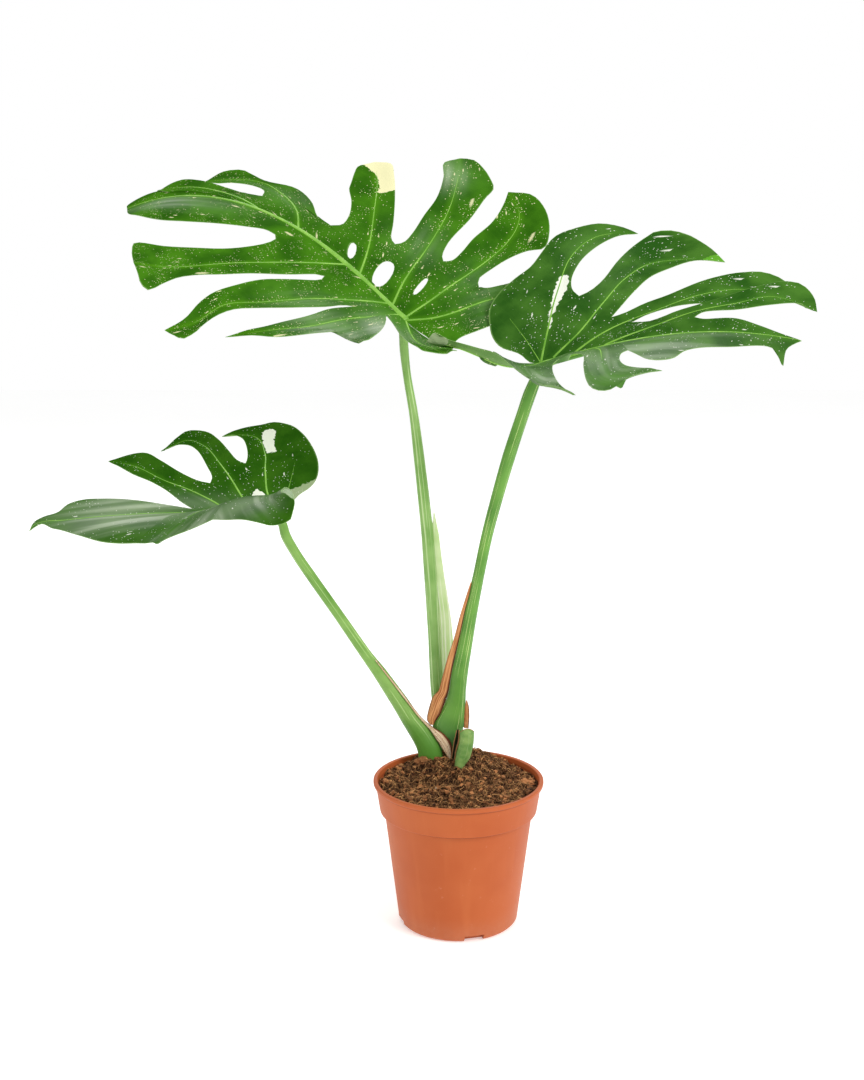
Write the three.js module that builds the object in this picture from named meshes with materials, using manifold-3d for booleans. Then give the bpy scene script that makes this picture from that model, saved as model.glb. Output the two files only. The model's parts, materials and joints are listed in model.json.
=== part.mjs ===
// Potted Thai constellation monstera: a terracotta coloured nursery pot, its compost and a plant of three split
// leaves on long stalks. Millimetres. The origin is the centre of the pot's underside, +X is to the right of the
// photo, +Y goes away from the camera and +Z is up.
import * as THREE from "three";
import { mergeVertices } from "three/addons/utils/BufferGeometryUtils.js";
import Module from "manifold-3d";

const wasm = await Module();
wasm.setup();

// Pot
const POT_HEIGHT = 149;
const POT_BASE_RADIUS = 60;
const POT_STEP_RADIUS = 74;
const POT_BAND_LOW_RADIUS = 78.5;
const POT_BAND_HIGH_RADIUS = 82.5;
const POT_LIP_RADIUS = 85;
const POT_BAND_HEIGHT = 32;
const POT_LIP_HEIGHT = 4.5;
const POT_RIM_WIDTH = 4.2;
const POT_WALL = 1.8;
const POT_FLOOR = 2.5;
const POT_SEGMENTS = 72;
const POT_EDGE = 1;
const DRAIN_WIDTH = 20;
const DRAIN_HEIGHT = 6.5;
const DRAIN_DEPTH = 9;
const DRAIN_ANGLES = [-75, 15, 105, 195];

const POT_BAND_BOTTOM = POT_HEIGHT - POT_BAND_HEIGHT;
const POT_LIP_BOTTOM = POT_HEIGHT - POT_LIP_HEIGHT;
const POT_RIM_INNER_RADIUS = POT_LIP_RADIUS - POT_RIM_WIDTH;
const POT_LEDGE_HEIGHT = DRAIN_HEIGHT + POT_WALL;
const POT_LEDGE_RADIUS = POT_BASE_RADIUS - DRAIN_DEPTH - POT_WALL;
const POT_LEDGE_SLOPE = 8;

// Compost
const SOIL_EDGE_HEIGHT = 142.5;
const SOIL_CROWN_HEIGHT = 155;
const SOIL_HEAP_RADIUS = 38;
const SOIL_HEAP_EDGE = 8;
const SOIL_MOUND = { x: -30, y: 31, height: 6, radius: 11 };
const SOIL_LUMPS = [0.8, 0.5];
const SOIL_SEGMENTS = 48;
const SOIL_RINGS = 8;
const CROWN = [-2, 53];
const SOIL_GAP = 0.3;
const STALK_HOLE_DEPTH = 36;
const STALK_HOLE_GAP = 0.6;

// Leaves
const BLADE_THICKNESS = 1.0;
const SEAM_ROWS = 5;
const FREE_ROWS = 7;
const LOBE_COLUMNS = 2;
const TIP_ROWS = 13;
const LOBE_ROWS = SEAM_ROWS + FREE_ROWS;
const JOINED_SHARE_LOW = 0.2;
const JOINED_SHARE_HIGH = 0.8;
const MIDRIB_SPACING = 11;
const FRAME_STEP = 4;
const BASAL_REACH = 140;

const radians = THREE.MathUtils.degToRad;
const vector = (p) => new THREE.Vector3(p[0], p[1], p[2] ?? 0);

// A leaf is drawn flat, x along its midrib from the stalk and y across, and then bent. Its far half has y above 0.
// sections: at each x, the angle at which a half leaves the midrib and how much it droops in 100 mm, far then near.
// A lobe has a vein from the midrib to its tip, and its margin before and after the vein, from the notch to the tip.
// A gap is the seam between two lobes, from the midrib to the bottom of the notch, and may hold a hole.
const TOP_LEAF = {
  base: [-52, 51, 600], heading: 138, rise: 34, roll: -3.5, farSide: -1,
  arch: [-3.5, 11.5], basalArch: -8, sideBend: -7.6, twist: -5, basalCurl: [0, 29],
  sections: [[-80, 34, -3, 10, 13], [20, 32, -4.5, -5, 13], [120, 33, -2, -18, 5.5], [260, 26, 9, -31, -11]],
  tip: [[300, 0], [335, -1], [354, -2]],
  far: {
    lobes: [
      { vein: [[0, 0], [-14, 25], [-25, 70], [-34, 115], [-40, 160]],
        before: [[-25, 3], [-45, 7], [-57, 11], [-52, 18], [-49, 30], [-51, 50], [-55, 75], [-58, 110], [-54, 140]],
        after: [[-13, 92], [-18, 112], [-24, 138]], lift: -30 },
      { vein: [[3, 0], [6, 40], [10, 90], [16, 140], [32, 175], [61, 192]],
        before: [[-2, 92], [-1, 125], [-6, 150], [-14, 163], [-2, 181], [20, 198], [45, 204]],
        after: [[32, 85], [34, 100], [39, 120], [43, 150], [50, 172]] },
      { vein: [[22, 0], [40, 30], [58, 75], [75, 120], [95, 160], [117, 198]],
        before: [[42, 82], [50, 97], [58, 134], [67, 167], [71, 184], [83, 194], [95, 201], [108, 205]],
        after: [[77, 64], [80, 80], [88, 105], [97, 135], [110, 162], [122, 181]] },
      { vein: [[72, 0], [95, 35], [120, 70], [142, 105], [169, 148]],
        before: [[87, 58], [100, 75], [120, 102], [140, 130], [156, 150]],
        after: [[130, 34], [133, 48], [144, 67], [158, 84], [163, 95], [171, 115], [175, 132]] },
      { vein: [[157, 0], [176, 22], [205, 42], [242, 58], [284, 40]],
        before: [[152, 25], [173, 43], [200, 57], [230, 58], [250, 73], [264, 85], [276, 80]],
        after: [[221, 36], [235, 41], [255, 39], [269, 33]] },
      { vein: [[205, 0], [240, 12], [285, 24], [329, 30]],
        before: [[228, 19], [245, 22], [268, 30], [290, 42], [314, 62]],
        after: [[318, 17]] },
    ],
    gaps: [
      { from: 1.5, notch: [-5, 85] },
      { from: 13, notch: [36, 78], hole: { start: [20, 26], end: [28, 50], widths: [3, 3] } },
      { from: 46, notch: [80, 56], hole: { start: [51, 4], end: [66, 36], widths: [8, 9] } },
      { from: 90, notch: [138, 24], hole: { start: [94, 8], end: [106, 25], widths: [4, 4] } },
      { from: 180, notch: [216, 23] },
      { from: 235, notch: [312, 12] },
    ],
    end: [[325, 20], [341, 36], [351, 38], [357, 18]],
  },
  near: {
    lobes: [
      { vein: [[0, 0], [-35, -20], [-75, -36], [-109, -49]],
        before: [[-14, -4], [-40, -5], [-72, -7], [-96, -24]],
        after: [[-4, -22], [-27, -32], [-56, -49], [-82, -60], [-102, -68]] },
      { vein: [[9, 0], [13, -30], [20, -75], [28, -120], [60, -182]],
        before: [[1, -27], [-9, -40], [-21, -60], [-31, -83], [-16, -79], [0, -79], [8, -100], [17, -128], [27, -148],
          [44, -164]],
        after: [[32, -56], [36, -75], [37, -95], [40, -120], [45, -145], [54, -165]] },
      { vein: [[26, 0], [38, -32], [60, -78], [85, -118], [108, -150], [108, -190], [121, -219]],
        before: [[35, -55], [40, -75], [57, -104], [78, -131], [93, -150], [98, -170], [95, -188], [90, -199],
          [90, -213], [106, -216]],
        after: [[80, -48], [95, -72], [114, -100], [124, -125], [130, -150], [128, -172], [120, -195]] },
      { vein: [[90, 0], [104, -25], [132, -68], [165, -115], [200, -158], [236, -195]],
        before: [[88, -43], [105, -70], [125, -98], [145, -125], [165, -148], [176, -168], [180, -190], [183, -210],
          [197, -213], [212, -207]],
        after: [[157, -37], [158, -52], [168, -72], [184, -92], [210, -113], [240, -136], [275, -157], [262, -176]] },
    ],
    gaps: [
      { from: 4, notch: [10, -20] },
      { from: 17, notch: [30, -46] },
      { from: 55, notch: [83, -40] },
      { from: 130, notch: [163, -31] },
    ],
    end: [[175, -31], [195, -41], [222, -52], [258, -61], [290, -62], [320, -52], [340, -36], [350, -20]],
  },
};

const RIGHT_LEAF = {
  base: [76.5, -2, 565], heading: -12, rise: 18, roll: -2.6, farSide: 1,
  arch: [3.9, 6.2], basalArch: 3.9, sideBend: -7.9, twist: 1.5, basalCurl: [0, 0],
  sections: [[-80, 54.5, 4, 44, 5.6], [20, 55, 3.6, -1, 16.5], [120, 36, 6, -11.5, 12.6], [260, 19, 9, -34, 14]],
  tip: [[215, 0], [248, 2]],
  far: {
    lobes: [
      { vein: [[0, 0], [12, 35], [24, 72], [38, 112], [60, 142], [86, 155]],
        before: [[-10, 4], [-18, 16], [-34, 30], [-40, 45], [-40, 62], [-37, 78], [-27, 92], [-10, 105], [5, 113],
          [17, 127], [28, 141], [45, 150], [62, 158], [78, 159]],
        after: [[38, 72], [38, 86], [45, 104], [55, 120], [68, 138], [78, 149]] },
      { vein: [[10, 0], [40, 22], [62, 52], [80, 85], [105, 112], [155, 111]],
        before: [[52, 68], [63, 82], [73, 105], [84, 132], [93, 152], [98, 162], [109, 167], [120, 158], [132, 142],
          [145, 126]],
        after: [[78, 45], [88, 65], [100, 85], [115, 97], [132, 107], [145, 110]] },
      { vein: [[32, 0], [70, 20], [110, 38], [150, 60], [190, 82], [213, 84]],
        before: [[82, 36], [100, 48], [125, 61], [150, 81], [168, 100], [183, 111], [197, 110], [207, 102]],
        after: [[96, 27], [103, 31], [114, 34.5], [126, 37.5], [142, 40], [165, 44], [190, 58]], lift: -8 },
      { vein: [[60, 0], [100, 12], [140, 27], [175, 42], [205, 64], [242, 53]],
        before: [[96, 21], [104, 20.5], [113, 22.5], [127, 28.5], [146, 36], [168, 51], [188, 74], [203, 94],
          [214, 97], [230, 80]],
        after: [[152, 25], [180, 31], [204, 46], [228, 59]], lift: 3 },
    ],
    gaps: [
      { from: 4, notch: [43, 63] },
      { from: 18, notch: [70, 32] },
      { from: 45, notch: [88, 22] },
      { from: 95, notch: [146, 18.5] },
    ],
    end: [[155, 16], [183, 19], [205, 13], [228, 6]],
  },
  near: {
    lobes: [
      { vein: [[0, 0], [-30, -25], [-60, -52], [-90, -73]],
        before: [[-16, -8], [-31, -14], [-47, -38], [-66, -50], [-84, -62]],
        after: [[-45, -56], [-58, -59], [-70, -66], [-80, -79]], lift: 3 },
      { vein: [[4, 0], [-4, -30], [-8, -62], [2, -88], [54, -128]],
        before: [[-29, -76], [-18, -97], [1, -96], [33, -109]],
        after: [[26, -28], [21, -40], [24, -75], [34, -106], [40, -116]] },
      { vein: [[52, 0], [62, -20], [72, -60], [87, -90], [136, -77]],
        before: [[43, -27], [50, -42], [55, -75], [61, -100], [68, -113], [79, -117], [91, -112], [99, -100],
          [115, -88]],
        after: [[88, -44], [89, -60], [97, -72], [115, -77]] },
    ],
    gaps: [
      { from: 2, notch: [-34, -60] },
      { from: 25, notch: [35, -23] },
      { from: 75, notch: [93, -38] },
    ],
    end: [[104, -48], [116, -58], [128, -61], [142, -56], [150, -41], [162, -33], [190, -25], [222, -15], [234, -19],
      [245, -33], [240, -12]],
  },
};

const LEFT_LEAF = {
  base: [-171.5, -3, 422.5], heading: 187, rise: -1, roll: -7.6, farSide: -1,
  arch: [-4.9, 7.2], basalArch: -4.9, sideBend: -2, twist: 4, basalCurl: [0, 0],
  sections: [[-80, 42.5, 7.5, 48, 19], [20, 37.5, 8, 31, 39], [120, 28.5, 9, 2, 25], [260, 16.5, 10, -20.5, 16]],
  tip: [[205, 0], [222, 3], [232, 1], [238, -8]],
  far: {
    lobes: [
      { vein: [[0, 0], [11, 20], [13, 60], [12, 95], [20, 125], [54, 132]],
        before: [[-10, 10], [-19, 21], [-29, 29], [-37, 42], [-41, 65], [-37, 95], [-29, 122], [-16, 145], [0, 156],
          [14, 150], [32, 142], [45, 138]],
        after: [[30, 84], [30, 103], [34, 120], [42, 128]] },
      { vein: [[28, 0], [38, 25], [56, 78], [72, 118], [88, 138], [113, 119]],
        before: [[39, 80], [48, 100], [58, 125], [66, 142], [76, 152], [87, 157], [97, 145], [106, 130]],
        after: [[65, 54], [70, 78], [78, 106], [87, 122], [98, 127], [107, 124]] },
      { vein: [[50, 0], [62, 14], [85, 36], [112, 58], [138, 84], [162, 107]],
        before: [[78, 50], [95, 68], [114, 92], [128, 111], [143, 110]],
        after: [[94, 14], [108, 34], [122, 50], [140, 66], [152, 84]] },
    ],
    gaps: [
      { from: 14, notch: [32, 74] },
      { from: 38, notch: [67, 44] },
      { from: 78, notch: [84, 3] },
    ],
    end: [[100, 9], [118, 15], [135, 20], [168, 28], [187, 32], [200, 29], [211, 16], [223, 13], [232, 7]],
  },
  near: {
    lobes: [
      { vein: [[0, 0], [12, -60], [14, -120], [-4, -178]],
        before: [[-10, -8], [-12, -30], [-6, -60], [0, -90], [1, -112], [-3, -128], [-7, -148], [-10, -165]],
        after: [[62, -104], [50, -124], [39, -139], [27, -153], [11, -166]] },
      { vein: [[52, 0], [80, -35], [105, -70], [119, -91]],
        before: [[73, -96], [84, -93], [100, -89]],
        after: [[129, -90]] },
    ],
    gaps: [
      { from: 25, notch: [66, -98] },
      { from: 90, notch: [138, -85] },
    ],
    end: [[155, -74], [173, -60], [192, -38], [208, -20], [217, -12], [226, 0], [232, -3]],
  },
};

// Stalks: each point of the centreline with the half width there, and the half depth where it differs
const TOP_STALK = [
  [-14, 63, 116, 6.8], [-14, 63, 150, 7], [-17, 62.5, 190, 7.2], [-21, 61.5, 224, 6.9], [-24, 59, 276, 6.2],
  [-26, 57.5, 313, 6.4], [-29, 56, 360, 6.5], [-31, 55, 386, 6.1], [-35, 53.5, 427, 5.8], [-39.5, 52, 468, 5.3],
  [-44.3, 50.3, 508, 4.4], [-50.8, 50, 547, 3.9], [-53.5, 49.6, 572, 4.4], [-54.6, 50.3, 590, 4.2],
];
const RIGHT_STALK = [
  [-4, 47, 116, 8, 7], [-4, 47, 157, 8.6, 7], [-4.5, 46.8, 169, 9.6, 7.2], [-6.5, 46.2, 179, 12.4, 7.3],
  [-9.3, 45.5, 188.5, 17, 7.2], [-7, 45, 197, 14.9, 7.2], [-2.5, 44, 214, 10.2, 7.2], [-0.8, 42, 228, 8.9, 7],
  [1.1, 39, 247, 8.9, 6.8], [6.3, 34, 277, 7.5, 6.6], [11.7, 29, 310, 6.7, 6.4], [19.7, 22, 353, 5.6],
  [27.6, 16, 395, 5.6], [37.2, 8, 436, 5.9], [47.7, 2, 476, 6.3], [59.9, -2, 516, 6], [66, -3, 535, 6.2],
  [71, -3.4, 548, 5.6], [74, -3.4, 555.5, 4.4],
];
const LEFT_STALK = [
  [-27, 44, 116, 10, 8], [-27, 44, 151, 12.6, 8.2], [-30, 43.5, 166, 12, 8.2], [-36, 43, 178, 11, 8],
  [-41.5, 42, 187, 10.4, 8], [-47.6, 41.5, 196, 9.4, 7.8], [-57.4, 40, 213, 8.7, 7.4], [-68.4, 37.5, 231, 7.8, 7],
  [-79.2, 33.5, 249, 6.9, 6.4], [-91.5, 28.5, 268, 5.7], [-118.8, 16, 314, 5.1], [-145, 5, 357, 5],
  [-157.4, 0, 378, 4.7], [-167.8, -4, 399, 4.8], [-171, -4.4, 411, 4.3],
];
const CUT_STALK = [[2.2, 28, 118, 5.2, 5], [2.4, 28, 154, 5.6, 5.2], [5.5, 28, 163, 7.3, 5.2], [8.6, 28, 177, 7.2, 5],
  [9.4, 28, 200, 7, 4.6]];
const CUT_STALK_TOP = 191;
const CUT_TILT = [-24, -6];
const KNIFE_SIZE = [60, 60, 40];
const MIDRIB_START = 8;
const MIDRIB_REACH = 0.62;
const MIDRIB_STEPS = 8;
const MIDRIB_START_RADIUS = 2.6;
const MIDRIB_END_RADIUS = 0.8;
const MIDRIB_CLEARANCE = 0.7;

// Sheaths: each point of the centreline with the width there and how far back its edges curl
const TOP_WING = [[-24.4, 54, 409, 0.9, 0], [-23, 54.5, 386, 7, 0.4], [-21, 55, 360, 9, 0.6], [-17.5, 56, 324, 13, 1],
  [-15, 57, 302, 14.5, 1.2], [-14, 58, 276, 17.5, 1.6], [-13, 58.5, 244, 19, 1.6], [-13, 59, 222, 14, 1]];
const BROWN_SHEATH = [[12.1, 19.5, 346, 0.9, 0.1], [9.4, 21.5, 334, 2.4, 0.3], [4, 25, 313, 3.4, 0.5],
  [-1.5, 29, 287, 4.9, 0.6], [-7.8, 32.5, 262, 6.9, 0.8], [-12.3, 34.5, 241, 8.2, 1], [-15.2, 36, 227, 9.6, 1.2],
  [-19.4, 37, 219, 13.6, 2], [-23.7, 37.5, 206, 12.8, 2.2], [-26.7, 38, 197, 9.8, 1.6], [-26.1, 38.5, 192, 3.2, 0.4]];
const PAPERY_SHEATH = [[-82.6, 25.6, 264.5, 0.9, 0.1], [-70.8, 29.6, 247, 1.4, 0.1], [-59.6, 32.2, 231, 1.8, 0.2],
  [-37, 36.6, 199, 1.8, 0.2], [-25.4, 37.4, 187, 4.6, 0.4], [-18, 37.3, 179, 9.6, 1.2], [-12.7, 37, 171.6, 11, 1.6],
  [-10.6, 37, 166.6, 9, 1.2], [-8.6, 37, 160, 4.6, 0.5], [-7.8, 37, 156, 1.8, 0.2]];
const CUT_SHEATH = [[-0.1, 34, 188.5, 2.8, -3], [-1.5, 34.5, 177, 5, -4], [-3.9, 35, 165, 3.6, -3.5],
  [-4.8, 35.3, 157, 4, -3]];
const BROWN_SCALE = [[8.9, 41.6, 217, 0.9, 0.1], [9.3, 41.8, 210, 3.6, 0.3], [9.5, 42, 200, 4.2, 0.3],
  [9.2, 42.4, 188, 2.4, 0.2]];
const SHEATH_THICKNESS = 0.8;
const FRONT = new THREE.Vector3(0, -1, 0);

// Smooth curve through points, read off by the share of its length
function curveThrough(points) {
  return new THREE.CatmullRomCurve3(points.map(vector), false, "centripetal");
}

function pointsAlong(points, shares) {
  const curve = curveThrough(points);
  return shares.map((share) => {
    const p = curve.getPointAt(Math.min(Math.max(share, 0), 1));
    return [p.x, p.y];
  });
}

function curveLength(points) {
  return curveThrough(points).getLength();
}

function between(a, b, share) {
  return a.map((value, i) => value + (b[i] - value) * share);
}

// The frame of the midrib at each step: place, direction, far side and upper side
function midribFrames(leaf, reach) {
  const heading = radians(leaf.heading);
  const rise = radians(leaf.rise);
  const roll = radians(leaf.roll);
  const along = new THREE.Vector3(
    Math.cos(heading) * Math.cos(rise),
    Math.sin(heading) * Math.cos(rise),
    Math.sin(rise),
  );
  const left = new THREE.Vector3(0, 0, 1).cross(along).normalize();
  const upright = along.clone().cross(left);
  const level = left.multiplyScalar(leaf.farSide);
  const far = turned(level, upright, roll);
  const up = turned(upright, level, -roll);
  const frames = new Map([[0, { place: vector(leaf.base), along, far, up }]]);
  for (const way of [1, -1]) {
    const count = Math.ceil((way > 0 ? reach : BASAL_REACH) / FRAME_STEP);
    for (let i = 0; i < count; i += 1) {
      const arch = way > 0 ? leaf.arch[0] + (leaf.arch[1] * i * FRAME_STEP) / 100 : leaf.basalArch;
      const frame = frames.get(i * way);
      frames.set((i + 1) * way, nextFrame(frame, leaf, arch, (FRAME_STEP * way) / 100));
    }
  }
  return frames;
}

// A vector turned towards another by an angle
function turned(from, towards, angle) {
  return from.clone().multiplyScalar(Math.cos(angle)).addScaledVector(towards, Math.sin(angle));
}

function nextFrame(frame, leaf, arch, step) {
  const droop = radians(arch * step);
  const side = radians(leaf.sideBend * step);
  const twist = radians(leaf.twist * step);
  const bent = turned(frame.along, frame.up, -droop);
  const upBent = turned(frame.up, frame.along, droop);
  const along = turned(bent, frame.far, side);
  const farBent = turned(frame.far, bent, -side);
  const far = turned(farBent, upBent, twist);
  const up = turned(upBent, farBent, -twist);
  const place = frame.place.clone().addScaledVector(frame.along.clone().add(along), step * 50);
  return { place, along, far, up };
}

// A column of the leaf's section table at x, eased from one row to the next
function sectionValue(leaf, x, column) {
  const rows = leaf.sections;
  let i = 0;
  while (i < rows.length - 2 && x > rows[i + 1][0]) {
    i += 1;
  }
  const share = Math.min(Math.max((x - rows[i][0]) / (rows[i + 1][0] - rows[i][0]), 0), 1);
  const eased = share * share * (3 - 2 * share);
  return rows[i][column] + (rows[i + 1][column] - rows[i][column]) * eased;
}

// Returns the function that bends a flat point of the leaf to its place in the air
function bender(leaf, reach) {
  const frames = midribFrames(leaf, reach);
  return (x, y, lift = 0) => {
    const at = x / FRAME_STEP;
    const i = Math.floor(at);
    const share = at - i;
    const a = frames.get(i);
    const b = frames.get(i + 1);
    const half = y > 0 ? 0 : 1;
    const angle = radians(sectionValue(leaf, x, 1 + 2 * half));
    const droop = radians(sectionValue(leaf, x, 2 + 2 * half)) / 100 || 1e-6;
    const reachOut = Math.abs(y);
    const across = (Math.sin(angle) - Math.sin(angle - droop * reachOut)) / droop;
    const curl = radians(leaf.basalCurl[half]) / 100;
    const height = (Math.cos(angle - droop * reachOut) - Math.cos(angle)) / droop
      + 0.5 * curl * Math.min(x, 0) ** 2 + lift;
    return a.place.clone().lerp(b.place, share)
      .addScaledVector(a.far.clone().lerp(b.far, share), Math.sign(y) * across)
      .addScaledVector(a.up.clone().lerp(b.up, share), height);
  };
}

// The upper side's normal at a flat point; along the midrib it is halfway between the two halves'
function bladeNormal(leaf, bend, x, y) {
  const sides = Math.abs(y) < 0.5 ? [0.6, -0.6] : [y];
  const sum = new THREE.Vector3();
  for (const v of sides) {
    const dx = bend(x + 0.5, v).sub(bend(x - 0.5, v));
    const dy = bend(x, v + 0.05).sub(bend(x, v - 0.05));
    sum.add(dx.cross(dy).multiplyScalar(leaf.farSide).normalize());
  }
  return sum.normalize();
}

// Vertices along a seam, row 1 to the notch; a hole parts them into one row for each lobe
function seamRows(gap) {
  const start = [gap.from, 0];
  const shares = [];
  for (let row = 1; row <= SEAM_ROWS; row += 1) {
    shares.push(row / SEAM_ROWS);
  }
  if (!gap.hole) {
    const line = shares.map((share) => between(start, gap.notch, share));
    return { base: line, tip: line };
  }
  const base = [];
  const tip = [];
  const spine = [gap.hole.end[0] - gap.hole.start[0], gap.hole.end[1] - gap.hole.start[1]];
  const length = Math.hypot(...spine);
  const across = [spine[1] / length, -spine[0] / length];
  const open = SEAM_ROWS - 2;
  for (let row = 1; row < SEAM_ROWS; row += 1) {
    const share = (row - 1) / open;
    const eased = (1 - Math.cos(Math.PI * share)) / 2;
    const middle = between(gap.hole.start, gap.hole.end, eased);
    const wide = Math.sin(Math.PI * share) ** 0.8;
    if (row === 1 || row === SEAM_ROWS - 1) {
      base.push(middle);
      tip.push(middle);
      continue;
    }
    base.push(middle.map((value, i) => value - across[i] * gap.hole.widths[0] * wide));
    tip.push(middle.map((value, i) => value + across[i] * gap.hole.widths[1] * wide));
  }
  base.push(gap.notch);
  tip.push(gap.notch);
  return { base, tip };
}

// Adds a seam's points to the sheet, as one row for each of the two lobes beside it
function addSeam(sheet, gap) {
  const { base, tip } = seamRows(gap);
  const baseIds = base.map((p) => sheet.point(p));
  const tipIds = tip.map((p, i) => (p === base[i] ? baseIds[i] : sheet.point(p)));
  return { baseIds, tipIds };
}

// How far along its vein each row of a lobe lies: the last joined row is level with the notches beside the lobe
function veinShares(half, index) {
  const { vein } = half.lobes[index];
  const veinLength = curveLength(vein);
  const gaps = [half.gaps[index], half.gaps[index - 1]].filter(Boolean);
  const reach = gaps.map(({ notch }) => Math.hypot(notch[0] - vein[0][0], notch[1]) / veinLength);
  const mean = reach.reduce((a, b) => a + b) / reach.length;
  const joined = THREE.MathUtils.clamp(mean, JOINED_SHARE_LOW, JOINED_SHARE_HIGH);
  const shares = [];
  for (let row = 1; row < LOBE_ROWS; row += 1) {
    const free = (row - SEAM_ROWS) / FREE_ROWS;
    shares.push(free <= 0 ? (joined * row) / SEAM_ROWS : joined + (1 - joined) * free);
  }
  return shares;
}

// One side of a lobe: the seam it shares with its neighbour, then its own margin from the notch to the tip
function lobeSide(sheet, seamIds, points) {
  const joinedRows = seamIds.length;
  const shares = [];
  for (let row = joinedRows + 1; row < LOBE_ROWS; row += 1) {
    shares.push((row - joinedRows) / (LOBE_ROWS - joinedRows));
  }
  const margin = pointsAlong(points, shares);
  return {
    seamId: (row) => seamIds[row - 1],
    at: (row) => (row <= joinedRows ? sheet.points[seamIds[row - 1]] : margin[row - 1 - joinedRows]),
  };
}

// Splits a lobe's grid into triangles, mirrored on the two sides of its vein, and closes it at the tip
function fillLobe(grid, tip, triangle) {
  for (let row = 0; row < grid.length - 1; row += 1) {
    for (let column = 0; column < 2 * LOBE_COLUMNS; column += 1) {
      const [a, b] = [grid[row][column], grid[row][column + 1]];
      const [d, c] = [grid[row + 1][column], grid[row + 1][column + 1]];
      if (column >= LOBE_COLUMNS) {
        triangle(a, b, c);
        triangle(a, c, d);
      } else {
        triangle(a, b, d);
        triangle(b, c, d);
      }
    }
  }
  const last = grid[grid.length - 1];
  for (let column = 0; column < 2 * LOBE_COLUMNS; column += 1) {
    triangle(last[column], last[column + 1], tip);
  }
}

// Adds a lobe and returns its row next to the midrib
function addLobe(sheet, half, index, seams, triangle) {
  const lobe = half.lobes[index];
  const tipPoint = lobe.vein[lobe.vein.length - 1];
  const tipLift = lobe.lift ?? 0;
  const tip = sheet.point(tipPoint, tipLift);
  const basal = index === 0;
  const start = basal ? lobe.vein[0] : half.gaps[index - 1].notch;
  const sides = {
    before: lobeSide(sheet, basal ? [] : seams[index - 1].tipIds, [start, ...lobe.before, tipPoint]),
    after: lobeSide(sheet, seams[index].baseIds, [half.gaps[index].notch, ...lobe.after, tipPoint]),
  };
  const vein = pointsAlong(lobe.vein, veinShares(half, index));
  const grid = [];
  for (let row = 1; row < LOBE_ROWS; row += 1) {
    const raised = basal ? row / LOBE_ROWS : Math.max(row - SEAM_ROWS, 0) / FREE_ROWS;
    const lift = tipLift * raised * raised;
    const line = [];
    for (let column = -LOBE_COLUMNS; column <= LOBE_COLUMNS; column += 1) {
      const side = column < 0 ? sides.before : sides.after;
      const share = Math.abs(column) / LOBE_COLUMNS;
      const shared = share === 1 ? side.seamId(row) : undefined;
      line.push(shared ?? sheet.point(between(vein[row - 1], side.at(row), share), lift));
    }
    grid.push(line);
  }
  fillLobe(grid, tip, triangle);
  return grid[0];
}

// Adds the part of a half beyond its last gap and returns its points next to the midrib
function addEnd(sheet, half, midrib, seamIds, triangle) {
  const lastGap = half.gaps[half.gaps.length - 1];
  const tip = midrib[midrib.length - 1];
  const shares = Array.from({ length: TIP_ROWS }, (_, row) => row / TIP_ROWS);
  const margin = pointsAlong([lastGap.notch, ...half.end, sheet.points[tip]], shares);
  const ribBeyond = sheet.ribPoints.filter((p) => p[0] > lastGap.from + 1);
  const rib = pointsAlong([[lastGap.from, 0], ...ribBeyond], shares);
  const grid = [seamIds];
  for (let row = 1; row < TIP_ROWS; row += 1) {
    const line = [];
    for (let column = 1; column <= SEAM_ROWS; column += 1) {
      line.push(sheet.point(between(rib[row], margin[row], column / SEAM_ROWS)));
    }
    grid.push(line);
  }
  grid.forEach((line, row) => {
    const next = grid[row + 1];
    for (let column = 0; column < SEAM_ROWS - 1; column += 1) {
      if (next) {
        triangle(line[column], next[column], next[column + 1]);
        triangle(line[column], next[column + 1], line[column + 1]);
      } else {
        triangle(line[column], tip, line[column + 1]);
      }
    }
  });
  return grid.slice(1).map((line) => line[0]);
}

// Joins the midrib to the chain of points beside it, always by the shorter of the two next steps
function stitch(sheet, midrib, chain, triangle) {
  const distance = (a, b) => {
    const [p, q] = [sheet.points[a], sheet.points[b]];
    return Math.hypot(p[0] - q[0], p[1] - q[1]);
  };
  let i = 0;
  let j = 0;
  while (i < midrib.length - 1 || j < chain.length - 1) {
    const ribStep = i < midrib.length - 1 ? distance(midrib[i + 1], chain[j]) : Infinity;
    const chainStep = j < chain.length - 1 ? distance(midrib[i], chain[j + 1]) : Infinity;
    if (ribStep <= chainStep) {
      triangle(midrib[i], midrib[i + 1], chain[j]);
      i += 1;
    } else {
      triangle(midrib[i], chain[j + 1], chain[j]);
      j += 1;
    }
  }
}

// One half of a blade as a sheet of flat points. Adds its points and triangles to the sheet.
function addHalf(sheet, half, midrib, outwards) {
  const triangle = (a, b, c) => sheet.triangles.push(outwards > 0 ? [a, b, c] : [a, c, b]);
  const seams = half.gaps.map((gap) => addSeam(sheet, gap));
  const chain = [];
  half.lobes.forEach((lobe, index) => {
    const row = addLobe(sheet, half, index, seams, triangle);
    chain.push(...(index === 0 ? row : row.slice(1)));
  });
  const lastSeam = seams[seams.length - 1];
  chain.push(...addEnd(sheet, half, midrib, lastSeam.tipIds, triangle));
  stitch(sheet, midrib, chain, triangle);
}

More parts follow.
